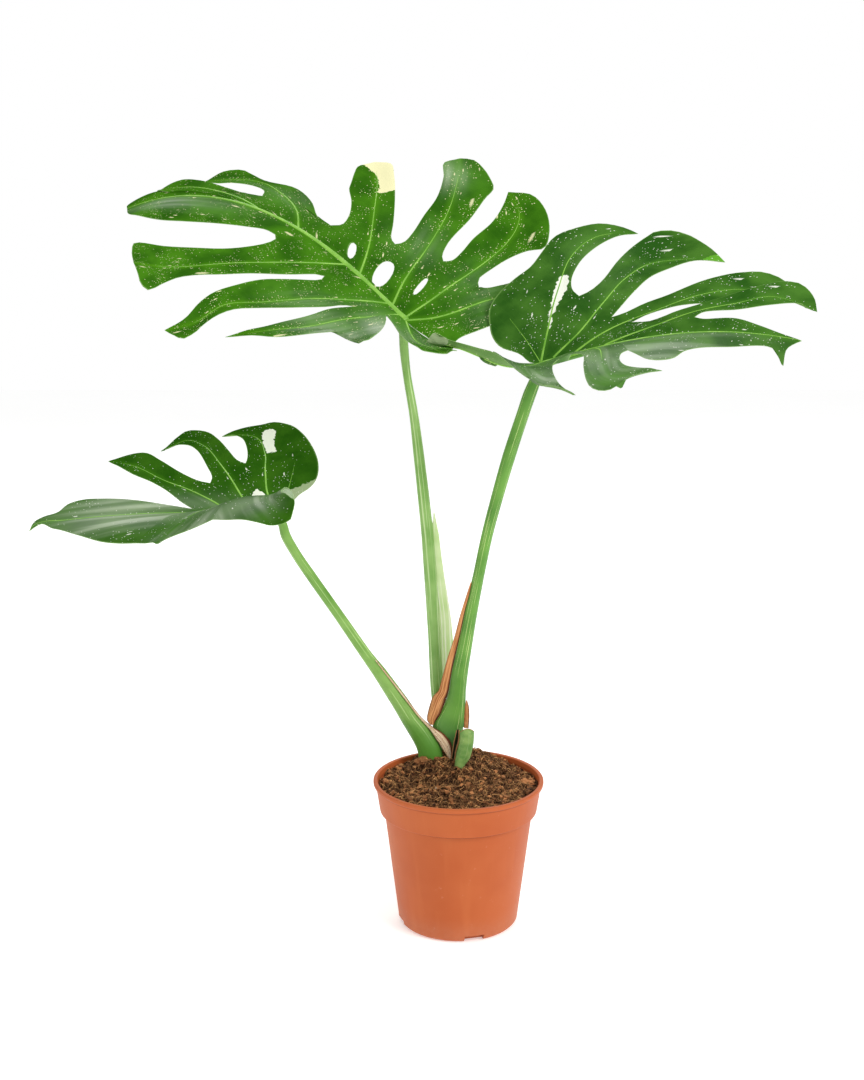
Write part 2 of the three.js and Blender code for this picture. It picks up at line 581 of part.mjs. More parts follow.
// The flat sheet of a whole leaf
function flatSheet(leaf) {
  const sheet = {
    points: [],
    lifts: [],
    triangles: [],
    point(p, lift = 0) {
      this.points.push([p[0], p[1]]);
      this.lifts.push(lift);
      return this.points.length - 1;
    },
  };
  const straight = leaf.tip[0][0];
  const ribLine = [[0, 0], [straight / 2, 0], ...leaf.tip];
  const count = Math.round(curveLength(ribLine) / MIDRIB_SPACING);
  sheet.ribPoints = pointsAlong(ribLine, Array.from({ length: count + 1 }, (_, i) => i / count));
  const midrib = sheet.ribPoints.map((p) => sheet.point(p));
  addHalf(sheet, leaf.far, midrib, 1);
  addHalf(sheet, leaf.near, midrib, -1);
  return sheet;
}

// Geometry from corner points and triangles
function solidGeometry(points, triangles) {
  const geometry = new THREE.BufferGeometry();
  geometry.setAttribute("position", new THREE.Float32BufferAttribute(points.flatMap((p) => [p.x, p.y, p.z]), 3));
  geometry.setIndex(triangles.flat());
  geometry.computeVertexNormals();
  return geometry;
}

// A blade: the same sheet of triangles above and below, joined round its outline and its holes
function bladeGeometry(leaf, thickness = BLADE_THICKNESS) {
  const sheet = flatSheet(leaf);
  const bend = bender(leaf, sheet.ribPoints[sheet.ribPoints.length - 1][0] + 12);
  const count = sheet.points.length;
  const middle = sheet.points.map((p, i) => bend(p[0], p[1], sheet.lifts[i]));
  const normals = sheet.points.map((p) => bladeNormal(leaf, bend, p[0], p[1]));
  const top = middle.map((p, i) => p.clone().addScaledVector(normals[i], thickness / 2));
  const bottom = middle.map((p, i) => p.clone().addScaledVector(normals[i], -thickness / 2));
  const upper = leaf.farSide > 0 ? sheet.triangles : sheet.triangles.map(([a, b, c]) => [a, c, b]);
  const faces = [...upper];
  const edges = new Map();
  for (const [a, b, c] of upper) {
    faces.push([a + count, c + count, b + count]);
    for (const [from, to] of [[a, b], [b, c], [c, a]]) {
      const back = `${to},${from}`;
      if (edges.has(back)) {
        edges.delete(back);
      } else {
        edges.set(`${from},${to}`, [from, to]);
      }
    }
  }
  for (const [from, to] of edges.values()) {
    faces.push([to, from, from + count]);
    faces.push([to, from + count, to + count]);
  }
  return solidGeometry([...top, ...bottom], faces);
}

// Where a piece's centreline runs, its side and its back as the photo sees it
function frameOf(curve, t) {
  const along = curve.getTangent(t);
  const side = along.clone().cross(FRONT).normalize();
  return { centre: curve.getPoint(t), side, back: along.cross(side).normalize() };
}

// A closed round bar through points that carry their half width and half depth
function barGeometry(stations, sides = 14, rings = 30) {
  const curve = curveThrough(stations.map((s) => s.slice(0, 3)));
  const points = [];
  const faces = [];
  for (let ring = 0; ring <= rings; ring += 1) {
    const t = curve.getUtoTmapping(ring / rings);
    const { centre, side, back } = frameOf(curve, t);
    const at = t * (stations.length - 1);
    const from = stations[Math.floor(at)];
    const to = stations[Math.ceil(at)];
    const share = at - Math.floor(at);
    const width = from[3] + (to[3] - from[3]) * share;
    const depth = (from[4] ?? from[3]) + ((to[4] ?? to[3]) - (from[4] ?? from[3])) * share;
    for (let i = 0; i < sides; i += 1) {
      const angle = (2 * Math.PI * i) / sides;
      points.push(centre.clone()
        .addScaledVector(side, width * Math.cos(angle))
        .addScaledVector(back, depth * Math.sin(angle)));
    }
  }
  for (let ring = 0; ring < rings; ring += 1) {
    for (let i = 0; i < sides; i += 1) {
      const a = ring * sides + i;
      const b = ring * sides + ((i + 1) % sides);
      faces.push([a, b, b + sides], [a, b + sides, a + sides]);
    }
  }
  const start = points.length;
  const end = rings * sides;
  points.push(curve.getPoint(0), curve.getPoint(1));
  for (let i = 0; i < sides; i += 1) {
    const next = (i + 1) % sides;
    faces.push([start, next, i], [start + 1, end + i, end + next]);
  }
  return solidGeometry(points, faces);
}

// A thin shell along a centreline; each point carries its width and how far back its edges curl
function shellGeometry(stations, rows = 16, columns = 6) {
  const curve = curveThrough(stations.map((s) => s.slice(0, 3)));
  const front = [];
  const back = [];
  for (let row = 0; row <= rows; row += 1) {
    const t = curve.getUtoTmapping(row / rows);
    const frame = frameOf(curve, t);
    const at = t * (stations.length - 1);
    const from = stations[Math.floor(at)];
    const to = stations[Math.ceil(at)];
    const share = at - Math.floor(at);
    const width = from[3] + (to[3] - from[3]) * share;
    const curl = from[4] + (to[4] - from[4]) * share;
    for (let column = 0; column <= columns; column += 1) {
      const u = (2 * column) / columns - 1;
      const p = frame.centre.clone()
        .addScaledVector(frame.side, (u * width) / 2)
        .addScaledVector(frame.back, curl * u * u);
      const normal = frame.back.clone().addScaledVector(frame.side, (-4 * curl * u) / width).normalize();
      front.push(p.clone().addScaledVector(normal, -SHEATH_THICKNESS / 2));
      back.push(p.clone().addScaledVector(normal, SHEATH_THICKNESS / 2));
    }
  }
  const wide = columns + 1;
  const count = front.length;
  const sheet = [];
  for (let row = 0; row < rows; row += 1) {
    for (let column = 0; column < columns; column += 1) {
      const a = row * wide + column;
      sheet.push([a, a + wide + 1, a + wide], [a, a + 1, a + wide + 1]);
    }
  }
  const rim = [];
  for (let column = 0; column < columns; column += 1) {
    rim.push(column);
  }
  for (let row = 0; row < rows; row += 1) {
    rim.push(row * wide + columns);
  }
  for (let column = columns; column > 0; column -= 1) {
    rim.push(rows * wide + column);
  }
  for (let row = rows; row > 0; row -= 1) {
    rim.push(row * wide);
  }
  const faces = [...sheet];
  for (const [a, b, c] of sheet) {
    faces.push([a + count, c + count, b + count]);
  }
  rim.forEach((a, i) => {
    const b = rim[(i + 1) % rim.length];
    faces.push([a, b + count, b], [a, a + count, b + count]);
  });
  return solidGeometry([...front, ...back], faces);
}

// Solid of a geometry, for joining and cutting
function solid(geometry) {
  const bare = new THREE.BufferGeometry();
  bare.setAttribute("position", geometry.getAttribute("position"));
  bare.setIndex(geometry.index);
  const merged = mergeVertices(bare, 1e-4);
  const made = new wasm.Manifold(new wasm.Mesh({
    numProp: 3,
    vertProperties: merged.getAttribute("position").array,
    triVerts: new Uint32Array(merged.index.array),
  }));
  if (made.volume() < 0) {
    throw new Error("inside out");
  }
  return made;
}

function geometryOf(made) {
  const mesh = made.getMesh();
  const geometry = new THREE.BufferGeometry();
  geometry.setAttribute("position", new THREE.BufferAttribute(mesh.vertProperties.slice(), 3));
  geometry.setIndex(new THREE.BufferAttribute(mesh.triVerts.slice(), 1));
  geometry.computeVertexNormals();
  return geometry;
}

function turnedGeometry(profile, segments) {
  const geometry = new THREE.LatheGeometry(profile.map(([r, z]) => new THREE.Vector2(r, z)), segments);
  geometry.rotateX(Math.PI / 2);
  return geometry;
}

// Pot: a turned wall with a band and a lip, and four drain notches under its edge
function potGeometry() {
  const profile = [...potOutside(), ...potInside()];
  let made = solid(turnedGeometry(profile, POT_SEGMENTS));
  for (const angle of DRAIN_ANGLES) {
    const box = new THREE.BoxGeometry(2 * DRAIN_DEPTH, DRAIN_WIDTH, 2 * DRAIN_HEIGHT);
    box.translate(POT_BASE_RADIUS, 0, 0);
    box.rotateZ(radians(angle));
    made = made.subtract(solid(box));
  }
  return geometryOf(made);
}

// The pot's outline outside, from the middle of its underside up to the rim, as radius and height
function potOutside() {
  return [
    [0, 0],
    [POT_BASE_RADIUS - 4 * POT_EDGE, 0],
    [POT_BASE_RADIUS - POT_EDGE, POT_EDGE],
    [POT_BASE_RADIUS, 4 * POT_EDGE],
    [POT_STEP_RADIUS, POT_BAND_BOTTOM - POT_EDGE],
    [POT_BAND_LOW_RADIUS - POT_EDGE / 2, POT_BAND_BOTTOM],
    [POT_BAND_LOW_RADIUS, POT_BAND_BOTTOM + POT_EDGE],
    [POT_BAND_HIGH_RADIUS, POT_LIP_BOTTOM - POT_EDGE],
    [POT_LIP_RADIUS - POT_EDGE / 2, POT_LIP_BOTTOM],
    [POT_LIP_RADIUS, POT_LIP_BOTTOM + POT_EDGE],
    [POT_LIP_RADIUS, POT_HEIGHT - POT_EDGE],
    [POT_LIP_RADIUS - POT_EDGE, POT_HEIGHT],
  ];
}

// The pot's outline inside, from the rim down to the middle of its floor. The floor is raised over the notches.
function potInside() {
  return [
    [POT_RIM_INNER_RADIUS + POT_EDGE, POT_HEIGHT],
    [POT_RIM_INNER_RADIUS, POT_HEIGHT - POT_EDGE],
    [POT_BAND_LOW_RADIUS - POT_WALL, POT_BAND_BOTTOM + 4 * POT_EDGE],
    [POT_STEP_RADIUS - POT_WALL, POT_BAND_BOTTOM - 3 * POT_EDGE],
    [POT_BASE_RADIUS - POT_WALL, POT_LEDGE_HEIGHT],
    [POT_LEDGE_RADIUS, POT_LEDGE_HEIGHT],
    [POT_LEDGE_RADIUS - POT_LEDGE_SLOPE, POT_FLOOR],
    [0, POT_FLOOR],
  ];
}

// Height of the compost at a place: level by the wall, heaped round the stalks, with a mound by the left one
function soilHeight(x, y) {
  const away = Math.hypot(x - CROWN[0], y - CROWN[1]);
  const heap = 1 / (1 + Math.exp((away - SOIL_HEAP_RADIUS) / SOIL_HEAP_EDGE));
  const mound = Math.exp(-(((x - SOIL_MOUND.x) ** 2 + (y - SOIL_MOUND.y) ** 2) / SOIL_MOUND.radius ** 2));
  const lumps = SOIL_LUMPS[0] * Math.sin(x / 9 + 1) * Math.sin(y / 11) + SOIL_LUMPS[1] * Math.sin((x + 2 * y) / 14);
  const open = THREE.MathUtils.clamp((away - 30) / 20, 0, 1);
  return SOIL_EDGE_HEIGHT + (SOIL_CROWN_HEIGHT - SOIL_EDGE_HEIGHT) * heap + SOIL_MOUND.height * mound + lumps * open;
}

// Inner radius of the pot's band at a height
function bandInnerRadius(z) {
  const low = POT_BAND_LOW_RADIUS - POT_WALL;
  const bottom = POT_BAND_BOTTOM + 4 * POT_EDGE;
  const share = (z - bottom) / (POT_HEIGHT - POT_EDGE - bottom);
  return low + (POT_RIM_INNER_RADIUS - low) * share;
}

// Compost: fills the pot, with a plain hole for each stalk
function soilGeometry(stalks) {
  const g = SOIL_GAP;
  const wallTop = SOIL_EDGE_HEIGHT - 2;
  const topRadius = bandInnerRadius(wallTop) - g;
  const profile = [
    [0, POT_FLOOR + g],
    [POT_LEDGE_RADIUS - POT_LEDGE_SLOPE - g, POT_FLOOR + g],
    [POT_LEDGE_RADIUS - g, POT_LEDGE_HEIGHT + g],
    [POT_BASE_RADIUS - POT_WALL - 2 * g, POT_LEDGE_HEIGHT + g],
    [POT_STEP_RADIUS - POT_WALL - 2 * g, POT_BAND_BOTTOM - 3 * POT_EDGE],
    [POT_BAND_LOW_RADIUS - POT_WALL - 2 * g, POT_BAND_BOTTOM + 4 * POT_EDGE],
    [topRadius, wallTop],
  ];
  for (let ring = 1; ring <= SOIL_RINGS; ring += 1) {
    profile.push([topRadius * (1 - ring / SOIL_RINGS), SOIL_EDGE_HEIGHT + 1]);
  }
  const geometry = turnedGeometry(profile, SOIL_SEGMENTS);
  const place = geometry.getAttribute("position");
  for (let i = 0; i < place.count; i += 1) {
    if (place.getZ(i) > SOIL_EDGE_HEIGHT - 3) {
      const [x, y] = [place.getX(i), place.getY(i)];
      const atWall = Math.hypot(x, y) > topRadius - 1;
      place.setZ(i, atWall ? SOIL_EDGE_HEIGHT - 1 : soilHeight(x, y));
    }
  }
  let made = solid(geometry);
  for (const [foot, neck] of stalks) {
    const hole = new THREE.CylinderGeometry(1, 1, 2 * STALK_HOLE_DEPTH, 24);
    hole.rotateX(Math.PI / 2);
    hole.scale(neck[3] + STALK_HOLE_GAP, (neck[4] ?? neck[3]) + STALK_HOLE_GAP, 1);
    hole.translate(foot[0], foot[1], foot[2] + STALK_HOLE_DEPTH - STALK_HOLE_GAP);
    made = made.subtract(solid(hole));
  }
  return geometryOf(made);
}

// A stalk goes on under its blade as the midrib
function stalkWithMidrib(stalk, leaf) {
  const reach = leaf.tip[leaf.tip.length - 1][0];
  const bend = bender(leaf, reach + 12);
  const stations = [...stalk];
  for (let i = 0; i <= MIDRIB_STEPS; i += 1) {
    const share = i / MIDRIB_STEPS;
    const x = MIDRIB_START + (reach * MIDRIB_REACH - MIDRIB_START) * share;
    const radius = MIDRIB_START_RADIUS + (MIDRIB_END_RADIUS - MIDRIB_START_RADIUS) * share;
    const normal = bladeNormal(leaf, bend, x, 0);
    const below = BLADE_THICKNESS / 2 + radius + MIDRIB_CLEARANCE;
    const p = bend(x, 0).addScaledVector(normal, -below);
    stations.push([p.x, p.y, p.z, radius]);
  }
  return barGeometry(stations, 12, 48);
}

// The top leaf's stalk has the pale wing of its sheath up its right side
function wingedStalk() {
  const bar = solid(stalkWithMidrib(TOP_STALK, TOP_LEAF));
  return geometryOf(bar.add(solid(shellGeometry(TOP_WING, 14, 6))));
}

function cutStalkGeometry() {
  const bar = solid(barGeometry(CUT_STALK, 16, 10));
  const knife = new THREE.BoxGeometry(...KNIFE_SIZE);
  knife.translate(0, 0, KNIFE_SIZE[2] / 2);
  knife.rotateY(radians(CUT_TILT[1]));
  knife.rotateX(radians(CUT_TILT[0]));
  knife.translate(CUT_STALK[3][0], CUT_STALK[3][1], CUT_STALK_TOP);
  return geometryOf(bar.subtract(solid(knife)));
}

const group = new THREE.Group();
group.name = "potted_monstera";

function add(name, geometry, color, roughness, metalness = 0) {
  const material = new THREE.MeshStandardMaterial({ color, roughness, metalness });
  const mesh = new THREE.Mesh(geometry, material);
  mesh.name = name;
  group.add(mesh);
}

add("pot", potGeometry(), 0xa5532f, 0.55);
add("soil", soilGeometry([TOP_STALK, RIGHT_STALK, LEFT_STALK, CUT_STALK]), 0x5a4030, 0.95);
add("stalk_top", wingedStalk(), 0x8fb455, 0.45);
add("stalk_right", stalkWithMidrib(RIGHT_STALK, RIGHT_LEAF), 0x86b843, 0.45);
add("stalk_left", stalkWithMidrib(LEFT_STALK, LEFT_LEAF), 0x84ac4a, 0.45);
add("stalk_cut", cutStalkGeometry(), 0x93a860, 0.6);
add("sheath_cut", shellGeometry(CUT_SHEATH, 8, 4), 0x6a5230, 0.8);
add("sheath_brown", shellGeometry(BROWN_SHEATH), 0x7a5a33, 0.8);
add("sheath_papery", shellGeometry(PAPERY_SHEATH), 0xa8875a, 0.8);
add("scale_brown", shellGeometry(BROWN_SCALE, 8, 4), 0x7b5228, 0.8);
add("leaf_top", bladeGeometry(TOP_LEAF), 0x2f7a1f, 0.35);
add("leaf_right", bladeGeometry(RIGHT_LEAF), 0x2c6f20, 0.35);
add("leaf_left", bladeGeometry(LEFT_LEAF), 0x2e7322, 0.35);

export default group;
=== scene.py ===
# %% [markdown]
# # A potted Thai constellation monstera
# Three split leaves stand on long stalks in a terracotta coloured nursery pot. The measured model of the part gives
# the frame, and this lesson dresses it: it rebuilds the pot and each leaf, stalk and sheath with a finer mesh on the
# same form, adds the veins and the wing of the top stalk, roughens the compost and strews loose bits on it, and gives
# every surface a finish made of shader nodes.
# Blender works in metres; the tables below are in millimetres, so `MM` turns one into the other.

import json
import math

import bmesh
import bpy
import numpy as np
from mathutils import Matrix, Vector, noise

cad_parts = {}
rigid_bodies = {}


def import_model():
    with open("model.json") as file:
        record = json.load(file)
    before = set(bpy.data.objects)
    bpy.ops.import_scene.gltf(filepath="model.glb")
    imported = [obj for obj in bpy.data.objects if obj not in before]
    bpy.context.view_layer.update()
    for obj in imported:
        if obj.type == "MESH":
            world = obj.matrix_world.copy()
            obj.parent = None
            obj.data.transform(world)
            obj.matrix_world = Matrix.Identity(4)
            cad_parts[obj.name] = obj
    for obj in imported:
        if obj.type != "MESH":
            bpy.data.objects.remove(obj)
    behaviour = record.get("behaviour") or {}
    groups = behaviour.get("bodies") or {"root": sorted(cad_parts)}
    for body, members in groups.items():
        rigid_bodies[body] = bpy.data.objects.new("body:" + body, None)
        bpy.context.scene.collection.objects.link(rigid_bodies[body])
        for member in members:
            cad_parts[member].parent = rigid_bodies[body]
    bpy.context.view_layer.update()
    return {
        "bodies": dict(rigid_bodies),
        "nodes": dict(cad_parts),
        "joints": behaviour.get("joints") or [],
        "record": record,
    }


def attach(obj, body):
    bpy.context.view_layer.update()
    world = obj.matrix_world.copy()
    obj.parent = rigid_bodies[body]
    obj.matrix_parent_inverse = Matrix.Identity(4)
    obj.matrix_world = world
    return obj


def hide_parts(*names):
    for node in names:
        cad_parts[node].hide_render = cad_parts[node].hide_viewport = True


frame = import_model()
MM = 0.001

# %% [markdown]
# ## The camera
# The photograph looks slightly down on the plant from about 1.6 m away. A camera is fully given by its place, its
# direction and its focal length, so the three are set once here and nothing else in the lesson depends on them.

# %% Place the camera
PHOTO_HEIGHT = 1080
FOCAL_LENGTH_IN_PIXELS = 1694
SENSOR_WIDTH = 36
CAMERA_PLACE = (-0.0264, -1.6, 0.755)
LOOKING_DOWN = 12.74

camera_data = bpy.data.cameras.new("camera")
camera_data.sensor_width = SENSOR_WIDTH
# The picture is upright, so the sensor's width is laid along its height.
camera_data.lens = FOCAL_LENGTH_IN_PIXELS / PHOTO_HEIGHT * SENSOR_WIDTH
camera = bpy.data.objects.new("camera", camera_data)
camera.location = CAMERA_PLACE
camera.rotation_euler = (math.radians(90 - LOOKING_DOWN), 0, 0)
bpy.context.collection.objects.link(camera)
bpy.context.scene.camera = camera
print("Lens:", round(camera_data.lens, 2), "mm")

# %% [markdown]
# ## Floor, world and soft light
# A studio picture of a plant has a white floor and large soft lights. The world gives an even fill, and the camera
# sees it as plain white. Three area lights do the modelling: a wide key from the front right, a weaker one from the
# left, and a large one above and behind, which puts the grey sheen on the leaves that lie almost edge-on to the view.

# %% Light the studio
WORLD_FILL = 0.62
BACKGROUND_WHITE = 1.0
LIGHTS = {
    "key": dict(place=(1.7, -1.4, 1.9), size=1.1, power=36),
    "left_fill": dict(place=(-1.9, -1.3, 1.3), size=1.4, power=7),
    "back_box": dict(place=(-0.1, 1.5, 1.9), size=1.6, power=18),
}
LIGHT_TARGET = Vector((0, 0, 0.4))


def light_studio():
    world = bpy.data.worlds.new("studio")
    world.use_nodes = True
    nodes, links = world.node_tree.nodes, world.node_tree.links
    background = nodes["Background"]
    background.inputs["Color"].default_value = (1, 1, 1, 1)
    path = nodes.new("ShaderNodeLightPath")
    strength = nodes.new("ShaderNodeMapRange")
    strength.inputs["To Min"].default_value = WORLD_FILL
    strength.inputs["To Max"].default_value = BACKGROUND_WHITE
    links.new(path.outputs["Is Camera Ray"], strength.inputs["Value"])
    links.new(strength.outputs["Result"], background.inputs["Strength"])
    bpy.context.scene.world = world
    for name, light in LIGHTS.items():
        data = bpy.data.lights.new(name, "AREA")
        data.size = light["size"]
        data.energy = light["power"]
        lamp = bpy.data.objects.new(name, data)
        lamp.location = light["place"]
        lamp.rotation_euler = (LIGHT_TARGET - Vector(light["place"])).to_track_quat("-Z", "Y").to_euler()
        bpy.context.collection.objects.link(lamp)


light_studio()
bpy.context.scene.view_settings.view_transform = "Standard"
print("Lights:", ", ".join(LIGHTS))

# %% [markdown]
# ## Helpers for node trees
# A finish is a small network of nodes, and these helpers keep each one readable. They add a node and fill its
# sockets, do arithmetic, mix colours, read a map or an attribute, and join the result to the shader. A socket can be
# given a plain number or another node's output.


# %% Node helpers
def fill(tree, socket, value):
    if isinstance(value, bpy.types.NodeSocket):
        tree.links.new(value, socket)
    elif value is not None:
        socket.default_value = value


def add_node(tree, kind, settings=None, **sockets):
    node = tree.nodes.new("ShaderNode" + kind)
    for name, value in (settings or {}).items():
        setattr(node, name, value)
    for name, value in sockets.items():
        fill(tree, node.inputs[name.replace("_", " ")], value)
    return node


def maths(tree, operation, *values, clamp=False):
    node = add_node(tree, "Math", {"operation": operation, "use_clamp": clamp})
    for socket, value in zip(node.inputs, values):
        fill(tree, socket, value)
    return node.outputs[0]


def multiply(tree, a, b):
    return maths(tree, "MULTIPLY", a, b)


def mix_colours(tree, factor, a, b):
    return add_node(tree, "Mix", {"data_type": "RGBA"}, Factor=factor, A=a, B=b).outputs["Result"]


def layered(tree, base, *layers):
    """Colours laid over a base one after another, each where its mask is 1."""
    for mask, tint in layers:
        base = mix_colours(tree, mask, base, tint)
    return base


def smooth_step(tree, value, low, high):
    """0 at low, 1 at high and a soft slope between them; low may be the larger one."""
    smooth = {"interpolation_type": "SMOOTHSTEP"}
    return add_node(tree, "MapRange", smooth, Value=value, From_Min=low, From_Max=high).outputs["Result"]


def noise_texture(tree, place, scale, detail=2.0, dimensions="2D"):
    return add_node(tree, "TexNoise", {"noise_dimensions": dimensions}, Vector=place, Scale=scale, Detail=detail)


def object_place(tree):
    return add_node(tree, "TexCoord").outputs["Object"]


def uv_map(tree, name):
    return add_node(tree, "UVMap", {"uv_map": name}).outputs["UV"]


def attribute(tree, name):
    return add_node(tree, "Attribute", {"attribute_name": name}).outputs["Fac"]


def part_of(tree, vector, axis):
    return add_node(tree, "SeparateXYZ", Vector=vector).outputs[axis]


def colour(red, green, blue):
    """A colour given from 0 to 255, turned into the linear light that shaders use."""
    linear = [(c / 255 / 12.92) if c <= 10 else ((c / 255 + 0.055) / 1.055) ** 2.4 for c in (red, green, blue)]
    return (*linear, 1)


def new_group(name, inputs, outputs):
    """An empty shader node group with float, vector or colour sockets."""
    group = bpy.data.node_groups.new(name, "ShaderNodeTree")
    for label, (kind, value) in inputs.items():
        socket = group.interface.new_socket(label, in_out="INPUT", socket_type=f"NodeSocket{kind}")
        if value is not None:
            socket.default_value = value
    for label, kind in outputs.items():
        group.interface.new_socket(label, in_out="OUTPUT", socket_type=f"NodeSocket{kind}")
    return group, group.nodes.new("NodeGroupInput"), group.nodes.new("NodeGroupOutput")


def place_group(tree, group, **sockets):
    return add_node(tree, "Group", {"node_tree": group}, **sockets)


def new_material(name):
    material = bpy.data.materials.new(name)
    material.use_nodes = True
    return material, material.node_tree


def finish_surface(tree, base, roughness, specular, height=None, strength=None, distance=None):
    """Joins a look to the shader: its colour, its shine, and a bump from a height in units of the distance."""
    shader = tree.nodes["Principled BSDF"]
    fill(tree, shader.inputs["Base Color"], base)
    fill(tree, shader.inputs["Roughness"], roughness)
    shader.inputs["Specular IOR Level"].default_value = specular
    if height:
        bump = add_node(tree, "Bump", Height=height, Strength=strength, Distance=distance)
        fill(tree, shader.inputs["Normal"], bump.outputs["Normal"])
    return shader


print("A warm grey reads as", [round(c, 3) for c in colour(200, 195, 190)])

# %% [markdown]
# ## The floor
# The floor is one big flat sheet just under the pot. It is almost white with a faint mottling and glows a little,
# so that it keeps the pot's soft shadow but melts into the white behind it and shows no edge.


# %% Floor
FLOOR_HALF = 4.0
FLOOR_DROP = 0.0004
FLOOR_GLOW = 0.36


def floor_material():
    material, tree = new_material("floor_paper")
    mottle = noise_texture(tree, object_place(tree), 3.0, dimensions="3D").outputs["Fac"]
    tint = mix_colours(tree, mottle, colour(250, 250, 249), colour(253, 253, 253))
    shader = finish_surface(tree, tint, 0.9, 0.1)
    shader.inputs["Emission Color"].default_value = (1, 1, 1, 1)
    shader.inputs["Emission Strength"].default_value = FLOOR_GLOW
    return material


def make_floor():
    corners = [(x * FLOOR_HALF, y * FLOOR_HALF, -FLOOR_DROP) for x, y in ((-1, -1), (1, -1), (1, 1), (-1, 1))]
    mesh = bpy.data.meshes.new("floor")
    mesh.from_pydata(corners, [], [(0, 1, 2, 3)])
    mesh.materials.append(floor_material())
    floor = bpy.data.objects.new("floor", mesh)
    bpy.context.collection.objects.link(floor)


make_floor()

# %% [markdown]
# ## Smooth curves through a few points
# Outlines, veins and stalks are all drawn as a handful of points with a smooth curve through them. A centripetal
# Catmull-Rom curve passes through every point and never loops between two near ones, which a plain one may do.
# Points on it are asked for by the share of its length, so that rows come out evenly spaced.


# %% Curve helpers
def curve_points(points, t):
    """Places on a centripetal Catmull-Rom curve at the parameters t, which run from 0 to 1."""
    given = np.array(points, float)
    ends = [2 * given[0] - given[1]], [2 * given[-1] - given[-2]]
    ext = np.vstack([ends[0], given, ends[1]])
    at = np.clip(np.asarray(t, float), 0, 1) * (len(given) - 1)
    i = np.minimum(at.astype(int), len(given) - 2)
    w = (at - i)[:, None]
    p = [ext[i + k] for k in range(4)]
    d = [np.sqrt(np.linalg.norm(p[k + 1] - p[k], axis=1))[:, None] for k in range(3)]
    start = (p[1] - p[0]) / d[0] - (p[2] - p[0]) / (d[0] + d[1]) + (p[2] - p[1]) / d[1]
    finish = (p[2] - p[1]) / d[1] - (p[3] - p[1]) / (d[1] + d[2]) + (p[3] - p[2]) / d[2]
    start, finish = start * d[1], finish * d[1]
    return (p[1] + start * w + (3 * (p[2] - p[1]) - 2 * start - finish) * w ** 2
            + (2 * (p[1] - p[2]) + start + finish) * w ** 3)


def even_parameters(points, shares, samples=400):
    """The parameters that lie at the given shares of the curve's length."""
    t = np.linspace(0, 1, samples + 1)
    dense = curve_points(points, t)
    length = np.concatenate([[0], np.cumsum(np.linalg.norm(np.diff(dense, axis=0), axis=1))])
    return np.interp(np.asarray(shares) * length[-1], length, t), length[-1]


def along_curve(points, shares):
    return curve_points(points, even_parameters(points, shares)[0])


def curve_length(points):
    return even_parameters(points, [0.5])[1]


def unit(vectors):
    return vectors / np.linalg.norm(vectors, axis=-1, keepdims=True)


print("Curve test:", along_curve([(0, 0), (10, 5), (20, 0)], [0, 0.5, 1]).round(2).tolist())

# %% [markdown]
# ## The leaves' tables
# Each leaf is drawn flat, as if pressed in a book: x runs along the midrib from the stalk, y goes across, and the far
# half has y above 0. A lobe has its vein and its margins before and after the vein; a gap is the seam between two
# lobes from the midrib to the bottom of the notch, and may hold a hole. The measured solids come from such tables
# too, so the fine blades keep to their form.

